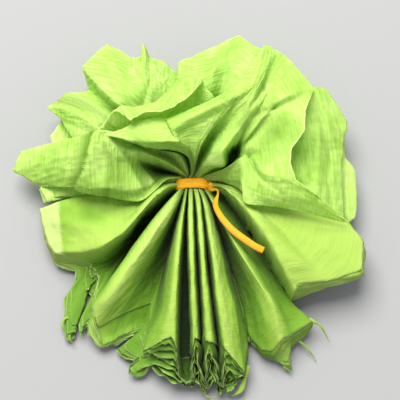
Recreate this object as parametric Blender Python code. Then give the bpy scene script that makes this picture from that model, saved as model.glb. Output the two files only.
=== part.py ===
"""Crepe paper flower, half opened.

Eight green crepe sheets are pleated together into one strip, tied round the
middle with a narrow orange strip, and laid on a table.  On the far side of the
tie the sheets have been pulled apart into petals that stand up as a loose cup.
On the near side the pleats are still nested, and their cut ends fan out.

Metres, +Z up.  The origin is on the table, straight below the middle of the tie.
Each sheet is one continuous piece from its near edge, through the tie, to its
far edge.
"""

import math

import bmesh
import bpy

MM = 0.001

# --- driving dimensions (millimetres, degrees) ---------------------------
SHEETS = 8
THROAT_HALF_WIDTH = 6.8   # half width of the pleated bundle inside the tie
THROAT_HALF_LENGTH = 3.2  # the bundle runs straight this far each side of y = 0
THROAT_PLEAT = 2.0        # pleat depth inside the tie
THROAT_FLOOR = 1.9        # underside of the lowest sheet inside the tie
PAPER = 0.55              # thickness of a sheet, measured straight down
GAP = 0.50                # clear height between neighbouring sheets
PLEAT_DEPTH = 15.0        # depth of the nested pleats on the near side

BAND_WIDTH = 4.8          # the tie's strip, along y
BAND_WALL = 0.7
BAND_HALF_WIDTH = 8.0     # outer half width of the tie's loop
BAND_TOP = 13.9           # outer height of the tie's loop
KNOT = (5.6, 4.0, 4.6)    # the knot's size
TAIL_WIDTH = 4.0
TAIL_WALL = 0.7

# Directions of the fold lines, near side, from the left edge to the right
# edge, in degrees from +X.  They alternate valley, ridge, valley.
NEAR_ANGLES = (186, 212, 223, 233, 249, 262, 267, 271, 275,
               279, 283, 288, 295, 303, 309, 315, 328, 345)
# How far the lowest sheet reaches along each fold.
NEAR_REACH = (79, 88, 91, 94, 98, 101, 103, 105, 106,
              106, 105, 106, 105, 103, 100, 97, 94, 88)
# The same folds on the far side, where the sheets are pulled apart.
FAR_ANGLES = (180,) + tuple(176.0 - 11.0 * c for c in range(1, 18))
FAR_REACH = (84, 82, 75, 77, 75, 75, 73, 62, 62,
             74, 74, 75, 76, 78, 80, 80, 80, 81)
# Share of the lowest sheet's reach at each row; sheet 1 ends first.
NEAR_ROWS = (0.05, 0.14, 0.28, 0.45, 0.62)
NEAR_ENDS = (0.77, 0.805, 0.84, 0.87, 0.905, 0.935, 0.97, 1.0)
FAR_ROWS = (0.05, 0.14, 0.26, 0.38)
FAR_ENDS = (0.53, 0.60, 0.67, 0.74, 0.81, 0.87, 0.935, 1.0)
# Height of each sheet's petals over the table, from the top sheet down.
PETAL_HEIGHT = (50.0, 43.0, 36.5, 30.0, 23.5, 17.0, 10.5, 4.0)
FAR_PLEAT = 5.0

COLUMNS = len(NEAR_ANGLES)


def blend(t):
    t = min(1.0, max(0.0, t))
    return t * t * (3.0 - 2.0 * t)


def throat_x(c):
    return -THROAT_HALF_WIDTH + 2.0 * THROAT_HALF_WIDTH * c / (COLUMNS - 1)


def is_ridge(c):
    return c % 2 == 1


def throat_height(c, k):
    """Underside of sheet k (0 is the top one) inside the tie."""
    lift = THROAT_PLEAT if is_ridge(c) else 0.0
    return THROAT_FLOOR + lift + (SHEETS - 1 - k) * (PAPER + GAP)


def near_height(c, k, r):
    """Underside of sheet k on the near side, r millimetres out from the tie."""
    out = blend(r / 34.0)
    droop = 1.0 - 0.28 * blend((r - 62.0) / 46.0)
    edge = 0.62 if c in (0, COLUMNS - 1) else 1.0
    ridge = (PLEAT_DEPTH if is_ridge(c) else -2.5) * droop
    if c == COLUMNS - 1 or c == COLUMNS - 2:
        ridge += 7.0 * blend(r / 60.0)
    spread = (SHEETS - 1 - k) * (PAPER + GAP) * (1.0 + 0.25 * out)
    start = throat_height(c, k)
    return start * (1.0 - out) + (ridge * edge + spread) * out


def far_height(c, k, r):
    """Underside of sheet k on the far side, where the layers stand apart."""
    rise = math.sin(0.5 * math.pi * min(1.0, r / 46.0))
    swell = 1.0 + 0.10 * math.sin(0.9 * c + 0.6 * k)
    wave = (FAR_PLEAT if is_ridge(c) else -FAR_PLEAT * 0.6) * blend(r / 40.0)
    start = throat_height(c, k)
    top = PETAL_HEIGHT[k] * swell
    if k == SHEETS - 1:
        wave *= 0.8
        if not is_ridge(c):
            top = 0.0
    return start + (top - start) * rise + wave


def row_list():
    """Rows shared by all sheets, as (side, index, share of reach)."""
    near = [("near", i, share) for i, share in enumerate(NEAR_ROWS + NEAR_ENDS)]
    far = [("far", i, share) for i, share in enumerate(FAR_ROWS + FAR_ENDS)]
    return list(reversed(near)) + [("throat", 0, -1.0), ("throat", 1, 1.0)] + far


def plan_point(c, row):
    side, _, share = row
    x = throat_x(c)
    if side == "throat":
        return x, share * THROAT_HALF_LENGTH
    angle = math.radians((NEAR_ANGLES if side == "near" else FAR_ANGLES)[c])
    reach = (NEAR_REACH if side == "near" else FAR_REACH)[c] * share
    if side == "near" and share >= NEAR_ENDS[0]:
        reach *= 1.0 + 0.012 * math.sin(2.1 * c)
    y = -THROAT_HALF_LENGTH if side == "near" else THROAT_HALF_LENGTH
    return x + reach * math.cos(angle), y + reach * math.sin(angle)


def raw_height(c, k, row):
    side, _, share = row
    if side == "throat":
        return throat_height(c, k)
    reach = (NEAR_REACH if side == "near" else FAR_REACH)[c] * share
    return (near_height if side == "near" else far_height)(c, k, reach)


def build_heights(rows):
    """Undersides, stacked from the lowest sheet up so that none touch."""
    below = None
    heights = {}
    for k in reversed(range(SHEETS)):
        level = []
        for j, row in enumerate(rows):
            line = []
            for c in range(COLUMNS):
                z = max(raw_height(c, k, row), 0.0)
                if below is not None:
                    z = max(z, below[j][c] + PAPER + GAP)
                line.append(z)
            level.append(line)
        heights[k] = level
        below = level
    return heights


def sheet_rows(k, rows):
    """Indices of the rows that sheet k reaches."""
    kept = []
    for j, (side, i, _) in enumerate(rows):
        near_last = len(NEAR_ROWS) + k
        far_last = len(FAR_ROWS) + k
        if side == "near" and i > near_last:
            continue
        if side == "far" and i > far_last:
            continue
        kept.append(j)
    return kept


def paper_material(name, colour):
    material = bpy.data.materials.new(name)
    material.use_nodes = True
    shader = material.node_tree.nodes["Principled BSDF"]
    shader.inputs["Base Color"].default_value = (*colour, 1.0)
    shader.inputs["Roughness"].default_value = 0.85
    shader.inputs["Metallic"].default_value = 0.0
    return material


def add_object(name, bm, material):
    mesh = bpy.data.meshes.new(name)
    bmesh.ops.recalc_face_normals(bm, faces=bm.faces)
    bm.to_mesh(mesh)
    bm.free()
    mesh.materials.append(material)
    obj = bpy.data.objects.new(name, mesh)
    bpy.context.scene.collection.objects.link(obj)
    return obj


def build_sheet(k, rows, heights):
    """One sheet: an upper and a lower skin joined round the rim."""
    bm = bmesh.new()
    kept = sheet_rows(k, rows)
    lower, upper = [], []
    for j in kept:
        low_line, high_line = [], []
        for c in range(COLUMNS):
            x, y = plan_point(c, rows[j])
            z = heights[k][j][c]
            low_line.append(bm.verts.new((x * MM, y * MM, z * MM)))
            high_line.append(bm.verts.new((x * MM, y * MM, (z + PAPER) * MM)))
        lower.append(low_line)
        upper.append(high_line)
    last = len(kept) - 1
    for j in range(last):
        for c in range(COLUMNS - 1):
            for skin, flip in ((upper, False), (lower, True)):
                a, b = skin[j][c], skin[j][c + 1]
                d, e = skin[j + 1][c + 1], skin[j + 1][c]
                for face in ((a, b, d), (a, d, e)):
                    bm.faces.new(tuple(reversed(face)) if flip else face)
    for c in range(COLUMNS - 1):
        bm.faces.new((lower[0][c], lower[0][c + 1], upper[0][c + 1], upper[0][c]))
        bm.faces.new((upper[last][c], upper[last][c + 1],
                      lower[last][c + 1], lower[last][c]))
    for j in range(last):
        bm.faces.new((upper[j][0], upper[j + 1][0], lower[j + 1][0], lower[j][0]))
        bm.faces.new((lower[j][-1], lower[j + 1][-1],
                      upper[j + 1][-1], upper[j][-1]))
    bmesh.ops.triangulate(bm, faces=[f for f in bm.faces if len(f.verts) > 3])
    tone = 0.04 * k
    return add_object(f"crepe_sheet_{k + 1}", bm,
                      paper_material(f"crepe_{k + 1}",
                                     (0.38 - tone, 0.74 - tone, 0.10)))


def loop_outline(half, low, high, corner, steps=5):
    """Rounded outline of the tie's loop in the x-z plane; its foot is flat."""
    points = []
    centres = ((half - corner, low + corner, -90.0), (half - corner, high - corner, 0.0),
               (-half + corner, high - corner, 90.0), (-half + corner, low + corner, 180.0))
    for cx, cz, start in centres:
        for i in range(steps + 1):
            a = math.radians(start + 90.0 * i / steps)
            points.append((cx + corner * math.cos(a), cz + corner * math.sin(a)))
    return points


def build_loop(material):
    bm = bmesh.new()
    outer = loop_outline(BAND_HALF_WIDTH, 0.0, BAND_TOP, 3.0)
    inner = loop_outline(BAND_HALF_WIDTH - BAND_WALL, BAND_WALL,
                         BAND_TOP - BAND_WALL, 3.0 - BAND_WALL)
    rings = []
    for y, outline in ((-BAND_WIDTH / 2, outer), (BAND_WIDTH / 2, outer),
                       (BAND_WIDTH / 2, inner), (-BAND_WIDTH / 2, inner)):
        rings.append([bm.verts.new((x * MM, y * MM, z * MM)) for x, z in outline])
    count = len(outer)
    for s in range(4):
        a, b = rings[s], rings[(s + 1) % 4]
        for i in range(count):
            n = (i + 1) % count
            bm.faces.new((a[i], a[n], b[n], b[i]))
    return add_object("tie_band", bm, material)


def tail_path(rows, heights):
    """Middle line of the loose end: up from the knot, then over the ridges."""
    marks = ((10.2, -0.6, 12.2), (12.4, -3.4, 15.5), (13.8, -8.2, 19.5),
             (16.6, -15.0, 23.0), (21.8, -22.6, 26.0), (28.4, -28.6, 27.6),
             (35.2, -33.2, 27.6))
    path = []
    for i in range(len(marks) - 1):
        for step in range(3):
            t = step / 3.0
            path.append([a + (b - a) * t for a, b in zip(marks[i], marks[i + 1])])
    path.append(list(marks[-1]))
    return path


def build_tail(material, path):
    """A flat strip swept along its middle line."""
    bm = bmesh.new()
    rings = []
    for i, (x, y, z) in enumerate(path):
        x0, y0, _ = path[max(0, i - 1)]
        x1, y1, _ = path[min(len(path) - 1, i + 1)]
        run = math.hypot(x1 - x0, y1 - y0)
        nx, ny = -(y1 - y0) / run, (x1 - x0) / run
        half = TAIL_WIDTH / 2 * (0.62 + 0.38 * blend(i / 6.0))
        ring = []
        for side, dz in ((-1, 0.0), (1, 0.0), (1, TAIL_WALL), (-1, TAIL_WALL)):
            ring.append(bm.verts.new(((x + side * half * nx) * MM,
                                      (y + side * half * ny) * MM,
                                      (z + dz) * MM)))
        rings.append(ring)
    for a, b in zip(rings, rings[1:]):
        for i in range(4):
            n = (i + 1) % 4
            bm.faces.new((a[i], a[n], b[n], b[i]))
    bm.faces.new(tuple(reversed(rings[0])))
    bm.faces.new(rings[-1])
    return add_object("tail_shape", bm, material)


def build_knot(material):
    bm = bmesh.new()
    bmesh.ops.create_icosphere(bm, subdivisions=2, radius=0.5)
    for v in bm.verts:
        v.co.x = v.co.x * KNOT[0] * MM + 10.0 * MM
        v.co.y = v.co.y * KNOT[1] * MM - 0.9 * MM
        v.co.z = v.co.z * KNOT[2] * MM + 11.6 * MM
    return add_object("knot_shape", bm, material)


def join_into(target, cutter):
    cut = target.modifiers.new("join_" + cutter.name, "BOOLEAN")
    cut.operation = "UNION"
    cut.solver = "EXACT"
    cut.object = cutter
    cutter.hide_render = True
    cutter.display_type = "WIRE"


def clear_scene():
    for obj in list(bpy.data.objects):
        bpy.data.objects.remove(obj, do_unlink=True)


def build():
    clear_scene()
    rows = row_list()
    heights = build_heights(rows)
    for k in range(SHEETS):
        build_sheet(k, rows, heights)
    orange = paper_material("tie_paper", (0.92, 0.42, 0.02))
    loop = build_loop(orange)
    knot = build_knot(orange)
    tail = build_tail(orange, tail_path(rows, heights))
    join_into(loop, knot)
    join_into(loop, tail)


build()
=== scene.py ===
"""Looks of the crepe paper flower: eight ruffled crepe sheets and their tie.

Every sheet is one continuous surface.  Its near half follows the nested pleats
from the tie to the ragged cut ends, its far half is pulled up into petals.
"""

import math

import bpy
import numpy as np
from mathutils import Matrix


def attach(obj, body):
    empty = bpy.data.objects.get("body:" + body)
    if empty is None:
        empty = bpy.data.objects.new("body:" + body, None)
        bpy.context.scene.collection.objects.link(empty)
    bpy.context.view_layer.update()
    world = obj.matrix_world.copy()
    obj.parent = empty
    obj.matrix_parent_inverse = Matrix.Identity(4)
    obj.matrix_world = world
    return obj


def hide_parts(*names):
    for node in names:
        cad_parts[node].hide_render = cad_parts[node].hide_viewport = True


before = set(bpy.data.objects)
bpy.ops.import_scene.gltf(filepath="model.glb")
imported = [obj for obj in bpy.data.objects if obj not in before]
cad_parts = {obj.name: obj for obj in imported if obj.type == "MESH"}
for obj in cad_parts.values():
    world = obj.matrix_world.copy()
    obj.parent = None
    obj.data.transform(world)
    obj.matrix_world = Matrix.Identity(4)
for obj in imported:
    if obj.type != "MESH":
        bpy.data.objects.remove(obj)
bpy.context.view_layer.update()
MM = 0.001

# ------------------------------------------------------------------ camera
ELEVATION = math.radians(75.0)
DISTANCE = 0.62
SPAN = 0.200            # width of the view at the camera's target, in metres
FOCAL = 400.0 * DISTANCE / SPAN
TARGET = np.array([0.0050, -0.00905, 0.0150])
BACK = np.array([0.0, -math.cos(ELEVATION), math.sin(ELEVATION)])
UP = np.array([0.0, math.sin(ELEVATION), math.cos(ELEVATION)])
RIGHT = np.array([1.0, 0.0, 0.0])
EYE = TARGET + BACK * DISTANCE


def W(px, py, z_mm):
    """The point at height z_mm that the photograph's frame shows at (px, py)."""
    ray = -BACK + RIGHT * (px - 200.0) / FOCAL + UP * (200.0 - py) / FOCAL
    t = (z_mm * MM - EYE[2]) / ray[2]
    return EYE + ray * t


def add_camera():
    cam = bpy.data.cameras.new("camera")
    cam.sensor_width = 36.0
    cam.lens = 36.0 * FOCAL / 400.0
    cam.clip_start = 0.01
    cam.clip_end = 10.0
    obj = bpy.data.objects.new("camera", cam)
    bpy.context.scene.collection.objects.link(obj)
    obj.location = EYE
    from mathutils import Vector
    obj.rotation_euler = Vector(-BACK).to_track_quat("-Z", "Y").to_euler()
    bpy.context.scene.camera = obj


# ------------------------------------------------------------------- noise
def lattice(ix, iy, seed):
    h = (ix.astype(np.int64) * 374761393 + iy.astype(np.int64) * 668265263
         + seed * 1274126177) & 0x7FFFFFFF
    h = ((h ^ (h >> 13)) * 1103515245 + 12345) & 0x7FFFFFFF
    h = (h ^ (h >> 16)) & 0x7FFFFFFF
    return h / float(0x7FFFFFFF)


def noise(x, y, seed=0):
    """Smooth value noise from -1 to 1."""
    x, y = np.broadcast_arrays(np.asarray(x, float), np.asarray(y, float))
    ix, iy = np.floor(x), np.floor(y)
    fx, fy = x - ix, y - iy
    sx, sy = fx * fx * (3 - 2 * fx), fy * fy * (3 - 2 * fy)
    a, b = lattice(ix, iy, seed), lattice(ix + 1, iy, seed)
    c, d = lattice(ix, iy + 1, seed), lattice(ix + 1, iy + 1, seed)
    top, bottom = a + (b - a) * sx, c + (d - c) * sx
    return 2.0 * (top + (bottom - top) * sy) - 1.0


def creases(x, y, seed):
    """Faceted crumple: flat facets that meet in soft creases, -1 to 1."""
    wx = x + 0.35 * noise(x * 1.3, y * 1.3, seed + 7)
    wy = y + 0.35 * noise(x * 1.3, y * 1.3, seed + 9)
    ix, iy = np.floor(wx), np.floor(wy)
    best = np.full(wx.shape, 9.0)
    value = np.zeros(wx.shape)
    second = np.full(wx.shape, 9.0)
    value2 = np.zeros(wx.shape)
    for dx in (-1, 0, 1):
        for dy in (-1, 0, 1):
            cx, cy = ix + dx, iy + dy
            px = cx + lattice(cx, cy, seed)
            py = cy + lattice(cx, cy, seed + 1)
            gx = 2.0 * lattice(cx, cy, seed + 2) - 1.0
            gy = 2.0 * lattice(cx, cy, seed + 3) - 1.0
            h = 0.7 * (2.0 * lattice(cx, cy, seed + 4) - 1.0)
            ax, ay = wx - px, wy - py
            d = np.sqrt(ax * ax + ay * ay)
            plane = h + gx * ax + gy * ay
            closer = d < best
            mid = (~closer) & (d < second)
            second = np.where(closer, best, np.where(mid, d, second))
            value2 = np.where(closer, value, np.where(mid, plane, value2))
            best = np.where(closer, d, best)
            value = np.where(closer, plane, value)
    w = np.clip(0.5 - (second - best) / 0.22, 0.0, 0.5)
    return value * (1 - w) + value2 * w


def smooth(t):
    t = np.clip(t, 0.0, 1.0)
    return t * t * (3 - 2 * t)


# ----------------------------------------------------------------- splines
def catmull(points, params, at):
    """Non-uniform Catmull-Rom through points (n, ..., 3) at positions `at`."""
    n = len(params)
    i = np.clip(np.searchsorted(params, at, side="right") - 1, 0, n - 2)
    p1, p2 = points[i], points[i + 1]
    p0 = np.where((i > 0)[:, None], points[np.maximum(i - 1, 0)], 2 * p1 - p2)
    p3 = np.where((i < n - 2)[:, None], points[np.minimum(i + 2, n - 1)], 2 * p2 - p1)
    t1, t2 = params[i], params[i + 1]
    t0 = np.where(i > 0, params[np.maximum(i - 1, 0)], 2 * t1 - t2)
    t3 = np.where(i < n - 2, params[np.minimum(i + 2, n - 1)], 2 * t2 - t1)
    h = (t2 - t1)[:, None]
    m1 = (p2 - p0) / (t2 - t0)[:, None] * h
    m2 = (p3 - p1) / (t3 - t1)[:, None] * h
    u = ((at - t1) / (t2 - t1))[:, None]
    u2, u3 = u * u, u * u * u
    return ((2 * u3 - 3 * u2 + 1) * p1 + (u3 - 2 * u2 + u) * m1
            + (-2 * u3 + 3 * u2) * p2 + (u3 - u2) * m2)


def across(control, n, soft):
    """Spokes (S, 3) resampled to n columns.  soft 0 gives sharp folds at the spokes."""
    s = len(control)
    params = np.linspace(0, 1, s)
    at = np.linspace(0, 1, n)
    curved = catmull(control, params, at)
    straight = np.stack([np.interp(at, params, control[:, k]) for k in range(3)], 1)
    return straight * (1 - soft) + curved * soft


def pleated(control, kinds, pos, k):
    """Folds resampled so that ridges are rolls and valleys stay narrow."""
    s = len(control)
    i = np.clip(pos.astype(int), 0, s - 2)
    t = pos - i
    a, b = control[i], control[i + 1]
    ka, kb = kinds[i], kinds[i + 1]
    # lower sheets are nested inside the ridges of the ones above
    tuck = 0.055 * k
    rise = 1.0 - (1.0 - np.clip((t - tuck) / (1.0 - tuck), 0, 1)) ** 4.0
    fall = np.clip(t / (1.0 - tuck), 0, 1) ** 4.0
    gentle_rise = np.sin(0.5 * math.pi * t)
    gentle_fall = 1.0 - np.cos(0.5 * math.pi * t)
    rise = np.where(ka > 0.2, gentle_rise, rise)
    fall = np.where(kb > 0.2, gentle_fall, fall)
    crisp_rise = np.where(ka > 0.2, 0.7 * t + 0.3 * gentle_rise, rise)
    crisp_fall = np.where(kb > 0.2, 0.7 * t + 0.3 * gentle_fall, fall)
    w = t.copy()
    w = np.where((kb > 0.99) & (ka < kb), rise, w)
    w = np.where((ka > 0.99) & (kb < ka), fall, w)
    w = np.where((kb > 0.8) & (kb < 0.99) & (ka < kb), crisp_rise, w)
    w = np.where((ka > 0.8) & (ka < 0.99) & (kb < ka), crisp_fall, w)
    out = a + (b - a) * t[:, None]
    out[:, 2] = a[:, 2] + (b[:, 2] - a[:, 2]) * w
    return out


def along(stack, n, reach=None):
    """Stations (K, N, 3) to n rows per column, even in arc length, cut at reach."""
    k, cols, _ = stack.shape
    out = np.zeros((n, cols, 3))
    length = np.zeros((n, cols))
    for c in range(cols):
        pts = stack[:, c, :]
        step = np.sqrt(np.linalg.norm(np.diff(pts, axis=0), axis=1)) + 1e-6
        params = np.concatenate([[0], np.cumsum(step)])
        fine = catmull(pts, params, np.linspace(0, params[-1], 12 * k))
        run = np.concatenate([[0], np.cumsum(np.linalg.norm(np.diff(fine, axis=0), axis=1))])
        end = run[-1] * (1.0 if reach is None else reach[c])
        at = np.linspace(0, end, n)
        for axis in range(3):
            out[:, c, axis] = np.interp(at, run, fine[:, axis])
        length[:, c] = at
    return out, length


# --------------------------------------------------------- the near pleats
# Each fold runs from the tie to the cut end.  Kind 1 is a round ridge, 0.95 a
# crisp one, 0 a valley, between them a slope.  `points` follow sheet 1, `cut`
# is the share of them that sheet 1 keeps, and `last` is where the lowest sheet
# ends.  Heights are in millimetres.
NEAR = [
    (0.5, 1.0, (43, 212, 4), [(180, 183.5, 11), (163, 187, 13), (138, 193, 16), (108, 194, 19), (79, 196, 20), (57, 203, 20), (40, 209, 14)], "even"),
    (0.6, 1.0, (48, 232, 4), [(179.5, 183.3, 11), (161, 186, 13), (140, 199, 17), (110, 208, 20), (83, 214, 21), (60, 222, 21), (43, 226, 14)], "even"),
    (0.55, 1.0, (51, 250, 4), [(179.2, 183, 11), (160.5, 184, 13), (147, 197, 17), (136, 209, 21), (118, 222, 23), (94, 232, 23), (48, 243, 14)], "even"),
    (1.0, 1.0, (55, 268, 4), [(178.6, 183, 11.5), (165, 187.5, 21), (152.5, 199.5, 27), (138, 216, 29), (120, 235, 28), (95, 248, 24), (54, 254.5, 13)], "even"),
]
VALLEY_LEFT = [(180.4, 186.3, 10), (169.5, 194, 8), (157, 206.5, 6), (144.5, 219.5, 5), (126.5, 242, 5), (110, 258, 6), (90, 264, 7)]
VALLEY_MID = [(181, 187, 10), (171.5, 196, 4), (158.7, 209.5, 2.4), (143, 228, 2.2), (127.6, 247.5, 2.4), (113, 265, 3.5), (99, 278, 5)]
VALLEY_RIGHT = [(181.6, 187.5, 10), (173, 198.5, 6), (158.5, 215, 4.5), (139.8, 239, 4.5), (121.8, 264, 5.5), (105, 288, 7), (92, 304, 8)]


def between(first, second, share):
    return [tuple(a + (b - a) * share for a, b in zip(p, q)) for p, q in zip(first, second)]


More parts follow.
